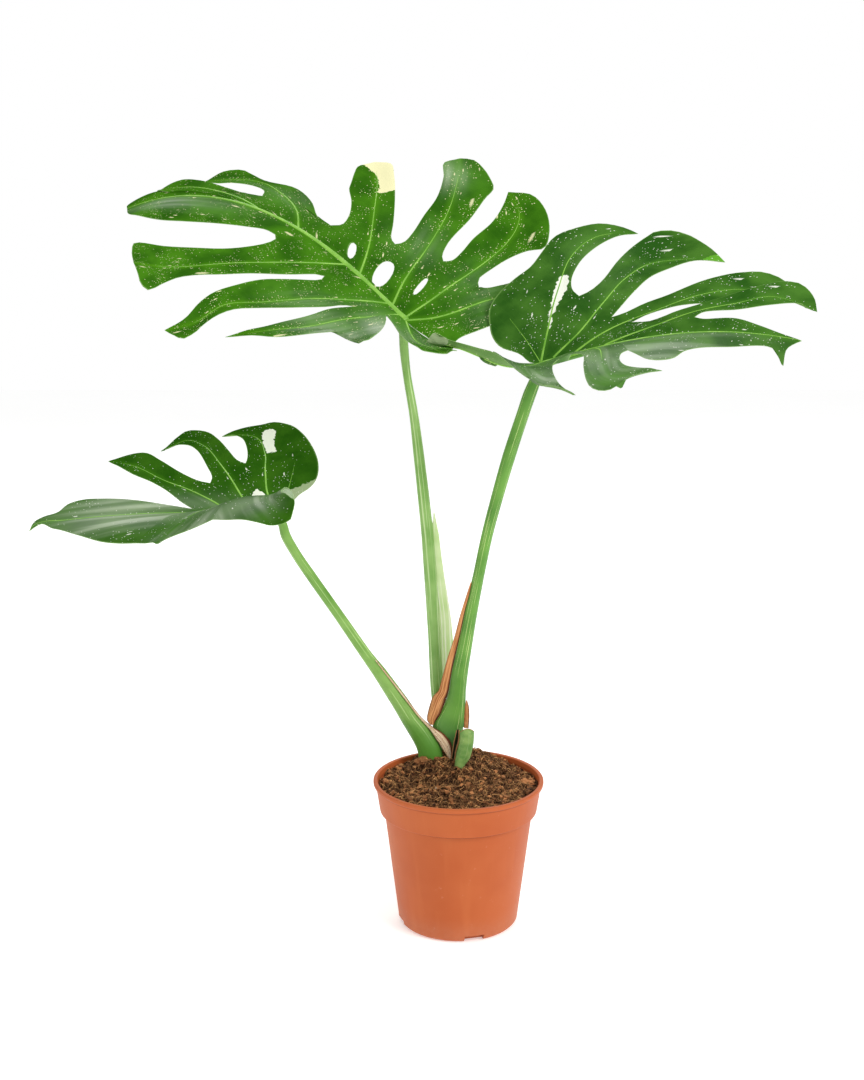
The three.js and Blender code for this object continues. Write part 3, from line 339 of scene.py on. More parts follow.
# %% Leaf tables
TOP_LEAF = dict(
    base=[-52, 51, 600], heading=138, rise=34, roll=-3.5, far_side=-1,
    arch=[-3.5, 11.5], basal_arch=-8, side_bend=-7.6, twist=-5, basal_curl=[0, 29],
    sections=[[-80, 34, -3, 10, 13], [20, 32, -4.5, -5, 13], [120, 33, -2, -18, 5.5], [260, 26, 9, -31, -11]],
    tip=[[300, 0], [335, -1], [354, -2]],
    far=dict(
        lobes=[
            dict(vein=[[0, 0], [-14, 25], [-25, 70], [-34, 115], [-40, 160]],
                before=[[-25, -0.5], [-45, 1.5], [-58, 8], [-52, 18], [-49, 30], [-51, 50], [-55, 75], [-58, 110],
                    [-54, 140]],
                after=[[-13, 92], [-18, 112], [-24, 138]], lift=-30),
            dict(vein=[[3, 0], [6, 40], [10, 90], [16, 140], [32, 175], [61, 192]],
                before=[[-2, 92], [-1, 125], [-6, 150], [-14, 163], [-2, 181], [20, 198], [45, 204]],
                after=[[32, 85], [34, 100], [39, 120], [43, 150], [50, 172]]),
            dict(vein=[[22, 0], [40, 30], [58, 75], [75, 120], [95, 160], [117, 198]],
                before=[[42, 82], [50, 97], [58, 134], [67, 167], [71, 184], [83, 194], [95, 201], [108, 205]],
                after=[[77, 64], [80, 80], [88, 105], [97, 135], [110, 162], [122, 181]]),
            dict(vein=[[72, 0], [95, 35], [120, 70], [142, 105], [169, 148]],
                before=[[87, 58], [100, 75], [120, 102], [140, 130], [156, 150]],
                after=[[130, 34], [133, 48], [144, 67], [158, 84], [163, 95], [171, 115], [175, 132]]),
            dict(vein=[[157, 0], [176, 22], [205, 42], [242, 58], [284, 40]],
                before=[[152, 25], [173, 43], [200, 57], [230, 58], [250, 73], [264, 85], [276, 80]],
                after=[[221, 36], [235, 41], [255, 39], [269, 33]]),
            dict(vein=[[205, 0], [240, 12], [285, 24], [329, 30]],
                before=[[228, 19], [245, 22], [268, 30], [290, 42], [314, 62]],
                after=[[318, 17]]),
        ],
        gaps=[dict(rib=1.5, notch=[-5, 85]),
            dict(rib=13, notch=[36, 78], hole=dict(start=[20, 26], end=[28, 50], widths=[3, 3])),
            dict(rib=46, notch=[80, 56], hole=dict(start=[51, 4], end=[66, 36], widths=[8, 9])),
            dict(rib=90, notch=[138, 24], hole=dict(start=[94, 8], end=[106, 25], widths=[4, 4])),
            dict(rib=180, notch=[216, 23]), dict(rib=235, notch=[312, 12])],
        end=[[325, 20], [341, 36], [351, 38], [357, 18]],
    ),
    near=dict(
        lobes=[
            dict(vein=[[0, 0], [-35, -20], [-75, -36], [-109, -49]],
                before=[[-14, -4], [-40, -5], [-72, -7], [-96, -24]],
                after=[[-4, -22], [-27, -32], [-56, -49], [-82, -60], [-102, -68]]),
            dict(vein=[[9, 0], [13, -30], [20, -75], [28, -120], [60, -182]],
                before=[[1, -27], [-9, -40], [-21, -60], [-31, -83], [-16, -79], [0, -79], [8, -100], [17, -128],
                    [27, -148], [44, -164]],
                after=[[32, -56], [36, -75], [37, -95], [40, -120], [45, -145], [54, -165]]),
            dict(vein=[[26, 0], [38, -32], [60, -78], [85, -118], [108, -150], [108, -190], [121, -219]],
                before=[[35, -55], [40, -75], [57, -104], [78, -131], [93, -150], [98, -170], [95, -188],
                    [90, -199], [90, -213], [106, -216]],
                after=[[80, -48], [95, -72], [114, -100], [124, -125], [130, -150], [128, -172], [120, -195]]),
            dict(vein=[[90, 0], [104, -25], [132, -68], [165, -115], [200, -158], [236, -195]],
                before=[[88, -43], [105, -70], [125, -98], [145, -125], [165, -148], [176, -168], [180, -190],
                    [183, -210], [197, -213], [212, -207]],
                after=[[157, -37], [158, -52], [168, -72], [184, -92], [210, -113], [240, -136], [275, -157],
                    [262, -176]]),
        ],
        gaps=[dict(rib=4, notch=[10, -20]), dict(rib=17, notch=[30, -46]), dict(rib=55, notch=[83, -40]),
            dict(rib=130, notch=[163, -31])],
        end=[[175, -31], [195, -41], [222, -52], [258, -61], [290, -62], [320, -52], [340, -36], [350, -20]],
    ),
)

RIGHT_LEAF = dict(
    base=[76.5, -2, 565], heading=-12, rise=18, roll=-2.6, far_side=1,
    arch=[3.9, 6.2], basal_arch=3.9, side_bend=-7.9, twist=1.5, basal_curl=[0, 0],
    sections=[[-80, 54.5, 4, 44, 5.6], [20, 55, 3.6, -1, 16.5], [120, 36, 6, -11.5, 12.6], [260, 19, 9, -34, 14]],
    tip=[[215, 0], [248, 2]],
    far=dict(
        lobes=[
            dict(vein=[[0, 0], [12, 35], [24, 72], [38, 112], [60, 142], [86, 155]],
                before=[[-10, 4], [-18, 16], [-34, 30], [-40, 45], [-40, 62], [-37, 78], [-27, 92], [-10, 105],
                    [5, 113], [17, 127], [28, 141], [45, 150], [62, 158], [78, 159]],
                after=[[38, 72], [38, 86], [45, 104], [55, 120], [68, 138], [78, 149]]),
            dict(vein=[[10, 0], [40, 22], [62, 52], [80, 85], [105, 112], [155, 111]],
                before=[[52, 68], [63, 82], [73, 105], [84, 132], [93, 152], [98, 162], [109, 167], [120, 158],
                    [132, 142], [145, 126]],
                after=[[78, 45], [88, 65], [100, 85], [115, 97], [132, 107], [145, 110]]),
            dict(vein=[[32, 0], [70, 20], [110, 38], [150, 60], [190, 82], [213, 84]],
                before=[[82, 36], [100, 48], [125, 61], [150, 81], [168, 100], [183, 111], [197, 110], [207, 102]],
                after=[[96, 27], [103, 31], [114, 34.5], [126, 37.5], [142, 40], [165, 44], [190, 58]], lift=-8),
            dict(vein=[[60, 0], [100, 12], [140, 27], [175, 42], [205, 64], [242, 53]],
                before=[[96, 21], [104, 20.5], [113, 22.5], [127, 28.5], [146, 36], [168, 51], [188, 74],
                    [203, 94], [214, 97], [230, 80]],
                after=[[152, 25], [180, 31], [204, 46], [228, 59]], lift=3),
        ],
        gaps=[dict(rib=4, notch=[43, 63]), dict(rib=18, notch=[70, 32]), dict(rib=45, notch=[88, 22]),
            dict(rib=95, notch=[146, 18.5])],
        end=[[155, 16], [183, 19], [205, 13], [228, 6]],
    ),
    near=dict(
        lobes=[
            dict(vein=[[0, 0], [-30, -25], [-60, -52], [-90, -73]], vein_reach=0.8,
                before=[[-16, -8], [-31, -14], [-47, -38], [-66, -50], [-84, -62]],
                after=[[-45, -56], [-58, -59], [-70, -66], [-80, -79]], lift=3),
            dict(vein=[[4, 0], [-4, -30], [-8, -62], [2, -88], [54, -128]], vein_reach=0.45,
                before=[[-29, -76], [-18, -97], [1, -96], [33, -109]],
                after=[[26, -28], [21, -40], [24, -75], [34, -106], [40, -116]]),
            dict(vein=[[52, 0], [62, -20], [72, -60], [87, -90], [136, -77]], vein_reach=0.5,
                before=[[43, -27], [50, -42], [55, -75], [61, -100], [68, -113], [79, -117], [91, -112],
                    [99, -100], [115, -88]],
                after=[[88, -44], [89, -60], [97, -72], [115, -77]]),
        ],
        gaps=[dict(rib=2, notch=[-34, -60]), dict(rib=25, notch=[35, -23]), dict(rib=75, notch=[93, -38])],
        end=[[104, -48], [116, -58], [128, -61], [142, -56], [150, -41], [162, -33], [190, -25], [222, -15],
            [234, -19], [245, -33], [240, -12]],
    ),
)

LEFT_LEAF = dict(
    base=[-171.5, -3, 422.5], heading=187, rise=-1, roll=-7.6, far_side=-1,
    arch=[-4.9, 7.2], basal_arch=-4.9, side_bend=-2, twist=4, basal_curl=[0, 0],
    sections=[[-80, 42.5, 7.5, 48, 19], [20, 37.5, 8, 31, 39], [120, 28.5, 9, 2, 25], [260, 16.5, 10, -20.5, 16]],
    tip=[[205, 0], [222, 3], [232, 1], [238, -8]],
    far=dict(
        lobes=[
            dict(vein=[[0, 0], [11, 20], [13, 60], [12, 95], [20, 125], [54, 132]],
                before=[[-10, 10], [-19, 21], [-29, 29], [-37, 42], [-41, 65], [-37, 95], [-29, 122], [-16, 145],
                    [0, 156], [14, 150], [32, 142], [45, 138]],
                after=[[30, 84], [30, 103], [34, 120], [42, 128]]),
            dict(vein=[[28, 0], [38, 25], [56, 78], [72, 118], [88, 138], [113, 119]],
                before=[[39, 80], [48, 100], [58, 125], [66, 142], [76, 152], [87, 157], [97, 145], [106, 130]],
                after=[[65, 54], [70, 78], [78, 106], [87, 122], [98, 127], [107, 124]]),
            dict(vein=[[50, 0], [62, 14], [85, 36], [112, 58], [138, 84], [162, 107]],
                before=[[78, 50], [95, 68], [114, 92], [128, 111], [143, 110]],
                after=[[94, 14], [108, 34], [122, 50], [140, 66], [152, 84]]),
        ],
        gaps=[dict(rib=14, notch=[32, 74]), dict(rib=38, notch=[67, 44]), dict(rib=78, notch=[84, 3])],
        end=[[100, 9], [118, 15], [135, 20], [168, 28], [187, 32], [200, 29], [211, 16], [223, 13], [232, 7]],
    ),
    near=dict(
        lobes=[
            dict(vein=[[0, 0], [12, -60], [14, -120], [-4, -178]], vein_reach=0.14,
                before=[[-10, -8], [-12, -30], [-6, -60], [0, -90], [1, -112], [-3, -128], [-7, -148], [-10, -165]],
                after=[[62, -104], [50, -124], [39, -139], [27, -153], [11, -166]]),
            dict(vein=[[52, 0], [80, -35], [105, -70], [119, -91]], vein_reach=0.3,
                before=[[73, -96], [84, -93], [100, -89]],
                after=[[129, -90]]),
        ],
        gaps=[dict(rib=25, notch=[66, -98]), dict(rib=90, notch=[138, -85])],
        end=[[155, -74], [173, -60], [192, -38], [208, -20], [217, -12], [226, 0], [232, -3]],
    ),
)

leaves = {"top": TOP_LEAF, "right": RIGHT_LEAF, "left": LEFT_LEAF}
for leaf_name, leaf in leaves.items():
    print(f"Lobes of the {leaf_name} leaf, far and near:", len(leaf["far"]["lobes"]), len(leaf["near"]["lobes"]))

# %% [markdown]
# ## Bending a flat leaf
# A real blade arches along its midrib, twists a little and lets both halves hang. Instead of sculpting that, the
# flat drawing is carried into space by a map: a small frame walks along the midrib in 4 mm steps and turns a little
# at each one, and each half leaves the midrib at an angle and droops in an arc. Any flat point can then be asked for.

# %% The bend map
FRAME_STEP = 4
BASAL_REACH = 140
# All bends, twists and droops in the tables are degrees for each stretch of this length.
BEND_LENGTH = 100
NO_DROOP = 1e-9
LEAST_DROOP = 1e-6


def turned(start, towards, angle):
    return start * math.cos(angle) + towards * math.sin(angle)


def next_frame(frame, leaf, arch, step):
    """The frame one step further on; step is a share of the bend length."""
    place, along, far, up = frame
    droop, side, twist = (math.radians(turn * step) for turn in (arch, leaf["side_bend"], leaf["twist"]))
    bent, up_bent = turned(along, up, -droop), turned(up, along, droop)
    new_along, far_bent = turned(bent, far, side), turned(far, bent, -side)
    new_far, new_up = turned(far_bent, up_bent, twist), turned(up_bent, far_bent, -twist)
    return place + (along + new_along) * step * BEND_LENGTH / 2, new_along, new_far, new_up


def midrib_frames(leaf, reach):
    """Place, direction, far side and upper side along the midrib, from behind the stalk's end to the tip."""
    heading, rise, roll = (math.radians(leaf[key]) for key in ("heading", "rise", "roll"))
    along = np.array([math.cos(heading) * math.cos(rise), math.sin(heading) * math.cos(rise), math.sin(rise)])
    left = unit(np.cross([0, 0, 1], along))
    upright = np.cross(along, left)
    level = left * leaf["far_side"]
    frames = {0: (np.array(leaf["base"], float), along, turned(level, upright, roll), turned(upright, level, -roll))}
    for way, length in ((1, reach), (-1, BASAL_REACH)):
        for i in range(math.ceil(length / FRAME_STEP)):
            arch = leaf["basal_arch"]
            if way > 0:
                arch = leaf["arch"][0] + leaf["arch"][1] * i * FRAME_STEP / BEND_LENGTH
            frames[(i + 1) * way] = next_frame(frames[i * way], leaf, arch, FRAME_STEP * way / BEND_LENGTH)
    order = sorted(frames)
    return order[0], [np.array([frames[i][k] for i in order]) for k in range(4)]


def section_value(leaf, x, column):
    """A column of the leaf's cross-section table at x, eased between the table's rows."""
    rows = np.array(leaf["sections"], float)
    i = np.clip(np.searchsorted(rows[:, 0], x, side="left") - 1, 0, len(rows) - 2)
    share = np.clip((x - rows[i, 0]) / (rows[i + 1, 0] - rows[i, 0]), 0, 1)
    eased = share * share * (3 - 2 * share)
    return rows[i, column] + (rows[i + 1, column] - rows[i, column]) * eased


def bend_flat(leaf, frames, x, y, lift=0.0):
    """Carries flat points of a leaf to their places in the air, in millimetres."""
    first, walk = frames
    at = x / FRAME_STEP - first
    i = np.clip(at.astype(int), 0, len(walk[0]) - 2)
    share = (at - i)[:, None]
    place, _, far, up = [row[i] * (1 - share) + row[i + 1] * share for row in walk]
    is_far = y > 0
    angle = np.radians(np.where(is_far, section_value(leaf, x, 1), section_value(leaf, x, 3)))
    droop = np.radians(np.where(is_far, section_value(leaf, x, 2), section_value(leaf, x, 4))) / BEND_LENGTH
    droop = np.where(np.abs(droop) < NO_DROOP, LEAST_DROOP, droop)
    turned_to = angle - droop * np.abs(y)
    across = (np.sin(angle) - np.sin(turned_to)) / droop
    curl = np.radians(np.where(is_far, *leaf["basal_curl"])) / BEND_LENGTH
    height = (np.cos(turned_to) - np.cos(angle)) / droop + 0.5 * curl * np.minimum(x, 0) ** 2 + lift
    return place + far * (np.sign(y) * across)[:, None] + up * height[:, None]


top_tip = bend_flat(TOP_LEAF, midrib_frames(TOP_LEAF, 370), np.array([354.0]), np.array([-2.0]))
print("Top leaf's tip is at", top_tip.round(1))

# %% [markdown]
# ## A fine sheet for each leaf
# The sheet is a patchwork of small grids. Every lobe has rows along its vein and columns out to its margin, and
# neighbouring lobes share the points of the seam between them, which open into two rows round a hole. The end of the
# leaf has one grid on each side, and a narrow band joins all of them to the midrib. Built this way, the outline is
# exact and the veins run along rows of points, which makes them easy to raise later.
# Between its veins a monstera blade swells up a little, so each point also gets a small swell.

# %% Sheet of flat points
SEAM_ROWS = 18
FREE_ROWS = 27
LOBE_COLUMNS = 9
TIP_ROWS = 48
MIDRIB_SPACING = 3.5
SWELL = 2.2
SWELL_ROWS = 8
HOLE_FULLNESS = 0.8
VEIN_REACH = 0.95


class Sheet:
    """Flat points of a blade, its triangles, and for each corner its place along and across the lobe."""

    def __init__(self):
        self.flat, self.lift, self.swell, self.triangles, self.corners = [], [], [], [], []
        self.midrib, self.veins = [], []

    def point(self, p, lift=0.0, swell=0.0):
        self.flat.append((float(p[0]), float(p[1])))
        self.lift.append(lift)
        self.swell.append(swell)
        return len(self.flat) - 1

    def triangle(self, a, b, c, outwards):
        order = (a, b, c) if outwards > 0 else (a, c, b)
        self.triangles.append([corner[0] for corner in order])
        self.corners.append([corner[1] for corner in order])


def swell_at(row, column_share):
    """The swell starts at nothing by the midrib and by the lobe's vein, and is full out at the seams."""
    fade = min(row / SWELL_ROWS, 1)
    return SWELL * fade * fade * (3 - 2 * fade) * (1 - math.cos(math.pi * column_share)) / 2


def seam_lines(gap):
    """Points of a seam, once for each neighbour; a hole parts them."""
    stops = [np.array(p, float) for p in ((gap["rib"], 0), gap["notch"])]
    if "hole" not in gap:
        line = [stops[0] + (stops[1] - stops[0]) * row / SEAM_ROWS for row in range(1, SEAM_ROWS + 1)]
        return line, line
    start, end = (np.array(gap["hole"][key], float) for key in ("start", "end"))
    lengths = [np.linalg.norm(b - a) for a, b in ((stops[0], start), (start, end), (end, stops[1]))]
    before = max(round(SEAM_ROWS * lengths[0] / sum(lengths)), 1)
    after = max(round(SEAM_ROWS * lengths[2] / sum(lengths)), 1)
    open_rows = SEAM_ROWS - before - after
    across = np.array([end[1] - start[1], start[0] - end[0]]) / lengths[1]
    base, tip = [], []
    for row in range(1, SEAM_ROWS + 1):
        shift = np.zeros(2)
        if row <= before:
            middle = stops[0] + (start - stops[0]) * row / before
        elif row < before + open_rows:
            share = (row - before) / open_rows
            middle = start + (end - start) * (1 - math.cos(math.pi * share)) / 2
            shift = across * math.sin(math.pi * share) ** HOLE_FULLNESS
        else:
            middle = end + (stops[1] - end) * (row - before - open_rows) / after
        base.append(middle - shift * gap["hole"]["widths"][0])
        tip.append(middle + shift * gap["hole"]["widths"][1])
    return base, tip


def seam_ids(sheet, gap):
    base, tip = seam_lines(gap)
    base_ids = [sheet.point(p, swell=swell_at(row, 1)) for row, p in enumerate(base, 1)]
    tip_ids = [base_ids[i] if np.allclose(p, base[i]) else sheet.point(p, swell=swell_at(i + 1, 1))
               for i, p in enumerate(tip)]
    return base_ids, tip_ids


def lobe_shares(half, index, vein_length):
    """How far along its vein each row of a lobe lies, and how far along its free margin."""
    root = half["lobes"][index]["vein"][0]
    notches = [half["gaps"][index]] + ([half["gaps"][index - 1]] if index else [])
    reach = [math.hypot(gap["notch"][0] - root[0], gap["notch"][1]) / vein_length for gap in notches]
    split = min(max(sum(reach) / len(reach), 0.2), 0.8)
    rows = np.arange(1, SEAM_ROWS + FREE_ROWS)
    free = np.maximum(rows - SEAM_ROWS, 0) / FREE_ROWS
    return np.where(rows <= SEAM_ROWS, split * rows / SEAM_ROWS, split + (1 - split) * free), free


def lobe_margins(sheet, half, index, seams, free):
    """The margins before and after a lobe's vein: a place for every row, and its number if it lies on a seam."""
    lobe = half["lobes"][index]
    tip = lobe["vein"][-1]

    def margin(gap, seam, line):
        open_part = along_curve([half["gaps"][gap]["notch"], *line, tip], free[SEAM_ROWS:])
        return [(np.array(sheet.flat[i]), i) for i in seam] + [(place, None) for place in open_part]

    after = margin(index, seams[index][0], lobe["after"])
    if index:
        return margin(index - 1, seams[index - 1][1], lobe["before"]), after
    basal = along_curve([[0, 0], *lobe["before"], tip], np.arange(1, len(free) + 1) / (len(free) + 1))
    return [(place, None) for place in basal], after


def add_lobe(sheet, half, index, seams, outwards):
    lobe = half["lobes"][index]
    length = curve_length(lobe["vein"])
    shares, free = lobe_shares(half, index, length)
    before, after = lobe_margins(sheet, half, index, seams, free)
    vein = along_curve(lobe["vein"], shares)
    rows = len(shares) + 1
    tip_lift = lobe.get("lift", 0)
    tip = (sheet.point(lobe["vein"][-1], tip_lift), (length, 0.0))
    grid = []
    for row in range(1, rows):
        raised = free[row - 1] if index else row / rows
        line = []
        for column in range(-LOBE_COLUMNS, LOBE_COLUMNS + 1):
            share = abs(column) / LOBE_COLUMNS
            margin, number = (before if column < 0 else after)[row - 1]
            across = margin - vein[row - 1]
            if number is None or share < 1:
                swell = swell_at(min(row, (rows - row) * 1.5), share)
                number = sheet.point(vein[row - 1] + across * share, tip_lift * raised * raised, swell)
            away = float(np.linalg.norm(across)) * share
            line.append((number, (float(shares[row - 1]) * length, math.copysign(away, column))))
        grid.append(line)
    fill_grid(sheet, grid, outwards)
    for a, b in zip(grid[-1], grid[-1][1:]):
        sheet.triangle(a, b, tip, outwards)
    shown = int(len(grid) * lobe.get("vein_reach", VEIN_REACH))
    sheet.veins.append([line[LOBE_COLUMNS][0] for line in grid[:shown]])
    return grid[0][1:] if index else grid[0]


def fill_grid(sheet, grid, outwards):
    """Two triangles for each cell, mirrored about the lobe's vein."""
    for lower, upper in zip(grid, grid[1:]):
        for column in range(2 * LOBE_COLUMNS):
            a, b, c, d = lower[column], lower[column + 1], upper[column + 1], upper[column]
            pair = ((a, b, c), (a, c, d)) if column >= LOBE_COLUMNS else ((a, b, d), (b, c, d))
            for triangle in pair:
                sheet.triangle(*triangle, outwards)


def add_end(sheet, half, midrib, seam, outwards):
    """The end of the blade on one side, from the last seam to the tip."""
    gap = half["gaps"][-1]
    tip = midrib[-1]
    shares = np.arange(TIP_ROWS) / TIP_ROWS
    margin = along_curve([gap["notch"], *half["end"], sheet.flat[tip[0]]], shares)
    rib_points = [sheet.flat[i] for i, _ in midrib if sheet.flat[i][0] > gap["rib"] + 1]
    rib = along_curve([[gap["rib"], 0], *rib_points], shares)
    grid = [[(i, sheet.flat[i]) for i in seam]]
    for row in range(1, TIP_ROWS):
        line = []
        for column in range(1, SEAM_ROWS + 1):
            share = column / SEAM_ROWS
            place = rib[row] + (margin[row] - rib[row]) * share
            fade = 1 - row / TIP_ROWS
            swell = swell_at(column, 1) * fade * (1 - 0.6 * share * row / TIP_ROWS)
            line.append((sheet.point(place, swell=swell), (float(place[0]), float(place[1]))))
        grid.append(line)
    for row, line in enumerate(grid):
        for column in range(SEAM_ROWS - 1):
            if row == TIP_ROWS - 1:
                sheet.triangle(line[column], tip, line[column + 1], outwards)
                continue
            above = grid[row + 1]
            sheet.triangle(line[column], above[column], above[column + 1], outwards)
            sheet.triangle(line[column], above[column + 1], line[column + 1], outwards)
    return [line[0] for line in grid[1:]]


def stitch(sheet, midrib, chain, outwards):
    """A band of triangles between the midrib's points and the first points of all the grids."""
    places = np.array(sheet.flat)
    chain = [(i, tuple(places[i])) for i, _ in chain]
    i = j = 0

    def gap(a, b):
        return np.linalg.norm(places[a[0]] - places[b[0]])

    while i < len(midrib) - 1 or j < len(chain) - 1:
        rib_step = gap(midrib[i + 1], chain[j]) if i < len(midrib) - 1 else math.inf
        chain_step = gap(midrib[i], chain[j + 1]) if j < len(chain) - 1 else math.inf
        if rib_step <= chain_step:
            sheet.triangle(midrib[i], midrib[i + 1], chain[j], outwards)
            i += 1
        else:
            sheet.triangle(midrib[i], chain[j + 1], chain[j], outwards)
            j += 1


def leaf_sheet(leaf):
    sheet = Sheet()
    rib_line = [[0, 0], [leaf["tip"][0][0] / 2, 0], *leaf["tip"]]
    count = round(curve_length(rib_line) / MIDRIB_SPACING)
    rib = along_curve(rib_line, np.arange(count + 1) / count)
    midrib = [(sheet.point(p), (float(p[0]), float(p[1]))) for p in rib]
    for name, outwards in (("far", 1), ("near", -1)):
        half = leaf[name]
        seams = [seam_ids(sheet, gap) for gap in half["gaps"]]
        chain = []
        for index in range(len(half["lobes"])):
            chain += add_lobe(sheet, half, index, seams, outwards)
        chain += add_end(sheet, half, midrib, seams[-1][1], outwards)
        stitch(sheet, midrib, chain, outwards)
    sheet.midrib = [i for i, _ in midrib]
    return sheet


sheets = {name: leaf_sheet(leaf) for name, leaf in leaves.items()}
print("Triangles on one side:", {name: len(sheet.triangles) for name, sheet in sheets.items()})

# %% [markdown]
# ## From the sheet to a surface
# Each flat point is bent into the air, and then moved along its normal by its swell and by a slow wave, because no
# real blade is perfectly even. The normals come from the triangles themselves, so they follow every lobe.

# %% Surface of a leaf
WAVE_LONG = 0.9
WAVE_SHORT = 0.5
CALM_REACH = 40
FRAMES_PAST_TIP = 24


def vertex_normals(places, triangles):
    corners = places[triangles]
    normal = np.cross(corners[:, 1] - corners[:, 0], corners[:, 2] - corners[:, 0])
    total = np.zeros_like(places)
    for k in range(3):
        np.add.at(total, triangles[:, k], normal)
    return total / np.maximum(np.linalg.norm(total, axis=1), 1e-9)[:, None]


def leaf_surface(leaf, sheet):
    flat = np.array(sheet.flat)
    x, y = flat[:, 0], flat[:, 1]
    frames = midrib_frames(leaf, leaf["tip"][-1][0] + FRAMES_PAST_TIP)
    triangles = np.array(sheet.triangles)
    if leaf["far_side"] < 0:
        triangles = triangles[:, ::-1]
    bare = bend_flat(leaf, frames, x, y)
    places = bend_flat(leaf, frames, x, y, np.array(sheet.lift))
    normals = vertex_normals(places, triangles)
    wave = WAVE_LONG * np.sin(x / 23 + y / 31) + WAVE_SHORT * np.sin(y / 10 + x / 29 + 1)
    wave *= np.clip(np.abs(y) / CALM_REACH, 0, 1)
    places = places + normals * (np.array(sheet.swell) + wave)[:, None]
    normals = vertex_normals(places, triangles)
    return dict(flat=flat, bare=bare, places=places, normals=normals, triangles=triangles, frames=frames)


surfaces = {name: leaf_surface(leaf, sheets[name]) for name, leaf in leaves.items()}
print("Highest point of the top leaf:", surfaces["top"]["places"][:, 2].max().round(1), "mm")

# %% [markdown]
# ## Where the variegation is
# This plant's creamy variegation is partly a spray of specks and partly a few larger fields. The cream ones are a
# lobe tip of the top leaf, a streak beside a vein of the right leaf and two small fields of the left leaf; the
# bright ones are two young green patches of the right leaf and a pale hem of the left leaf. They are drawn here as
# outlines on the flat leaf. Each point of a blade stores how far inside a field it lies, and the material turns
# that distance into a ragged edge with noise, which keeps the edge sharp whatever the mesh.
# The waxy skin is uneven too: mostly thin, with soft patches, most of them on the near halves. Where it lies, a grey
# sheen is painted into the colour as well, a painted reflection.

# %% Variegated fields
CREAM_FIELDS = {
    "top": [[(126, 112), (140, 132), (156, 154), (180, 156), (180, 138), (163, 131), (152, 122), (143, 110),
             (136, 98)]],
    "right": [[(12, 34), (15, 52), (19, 66), (23, 80), (27, 91), (33, 94), (37, 88), (33, 75), (26, 62), (19, 50),
               (14, 34)]],
    "left": [[(0, 96), (2, 118), (-2, 136), (6, 142), (14, 134), (13, 112), (10, 94)],
             [(16, 17), (15, 25), (22, 30), (28, 24), (23, 15)]],
}
BRIGHT_FIELDS = {
    "top": [],
    "right": [[(136, 96), (140, 116), (150, 124), (170, 112), (158, 100)],
              [(-70, -64), (-78, -60), (-98, -66), (-98, -88), (-82, -84)]],
    "left": [[(-8, 27), (-20, 33), (-31, 38), (-39, 46), (-43, 40), (-28, 22), (-11, 14)]],
}
FIELD_LIMIT = 20
# Each patch of wax and painted grey sheen: its middle, its reach along and across the leaf, and its strength.
WAX_AND_PAINTED_SHEEN_PATCHES = {
    "top": [(285, -15, 60, 16, 0.35), (200, 36, 50, 20, 0.12), (116, 166, 20, 22, 0.8), (0, -95, 60, 32, 0.5),
            (-22, -40, 36, 22, 0.9), (-30, 85, 40, 30, 0.2), (66, 75, 26, 26, 0.2)],
    "right": [(95, -45, 110, 44, 0.5), (20, -85, 50, 40, 0.5), (60, 100, 24, 34, 0.1)],
    "left": [(140, -22, 90, 26, 1.0), (140, 10, 70, 16, 1.0), (50, -100, 60, 34, 0.8), (-28, -40, 40, 34, 0.9),
             (30, -40, 60, 40, 0.6)],
}


def depth_in_outline(points, outline):
    """How deep each point lies inside an outline; outside it the depth is negative."""
    corners = np.array(outline, float)
    nearest = np.full(len(points), 1e9)
    inside = np.zeros(len(points), bool)
    for a, b in zip(corners, np.roll(corners, -1, axis=0)):
        edge = b - a
        share = np.clip(((points - a) @ edge) / (edge @ edge), 0, 1)
        nearest = np.minimum(nearest, np.linalg.norm(points - a - share[:, None] * edge, axis=1))
        crosses = (a[1] > points[:, 1]) != (b[1] > points[:, 1])
        crossing_x = a[0] + (points[:, 1] - a[1]) * edge[0] / (edge[1] if edge[1] else 1e-9)
        inside ^= crosses & (points[:, 0] < crossing_x)
    return np.where(inside, nearest, -nearest)


def field_depth(points, outlines):
    """The depth in the deepest of several outlines, kept within a limit."""
    depths = [depth_in_outline(points, outline) for outline in outlines]
    return np.clip(np.max([np.full(len(points), -FIELD_LIMIT), *depths], axis=0), -FIELD_LIMIT, FIELD_LIMIT)


def wax_and_painted_sheen_amount(points, patches):
    """Soft patches of wax and of painted grey sheen, each only on its own side of the midrib."""
    amount = np.zeros(len(points))
    for x, y, reach_x, reach_y, strength in patches:
        away = ((points[:, 0] - x) / reach_x) ** 2 + ((points[:, 1] - y) / reach_y) ** 2
        patch = np.where(points[:, 1] * y > 0, strength * np.exp(-away), 0)
        amount = np.maximum(amount, patch)
    return amount


field_points = {name: int((field_depth(surfaces[name]["flat"], CREAM_FIELDS[name]) > 0).sum()) for name in leaves}
print("Points in cream fields:", field_points)

# %% [markdown]
# ## Meshes with data for the finish
# A finish needs to know where it is on the leaf. Two UV maps carry that: `flat` is the place on the pressed leaf
# and `lobe` the place along and across the lobe's own vein, or the midrib at the leaf's end, both in metres. Values
# that vary slowly are point attributes.
# The first two helpers make the faces of a round tube and renumber the faces of a mesh that joins another one.


# %% Mesh helpers
def tube_faces(rings, sides, inside_out=False):
    """Quads round a closed tube, ring after ring, and a cap at each end."""
    last = (rings - 1) * sides
    quads = []
    for ring in range(0, last, sides):
        for i in range(sides):
            a, b = ring + i, ring + (i + 1) % sides
            quads.append((a, a + sides, b + sides, b) if inside_out else (a, b, b + sides, a + sides))
    caps = [tuple(reversed(range(sides))), tuple(range(last, last + sides))]
    return quads + ([cap[::-1] for cap in caps] if inside_out else caps)


def shifted(faces, first):
    return [tuple(first + i for i in face) for face in faces]


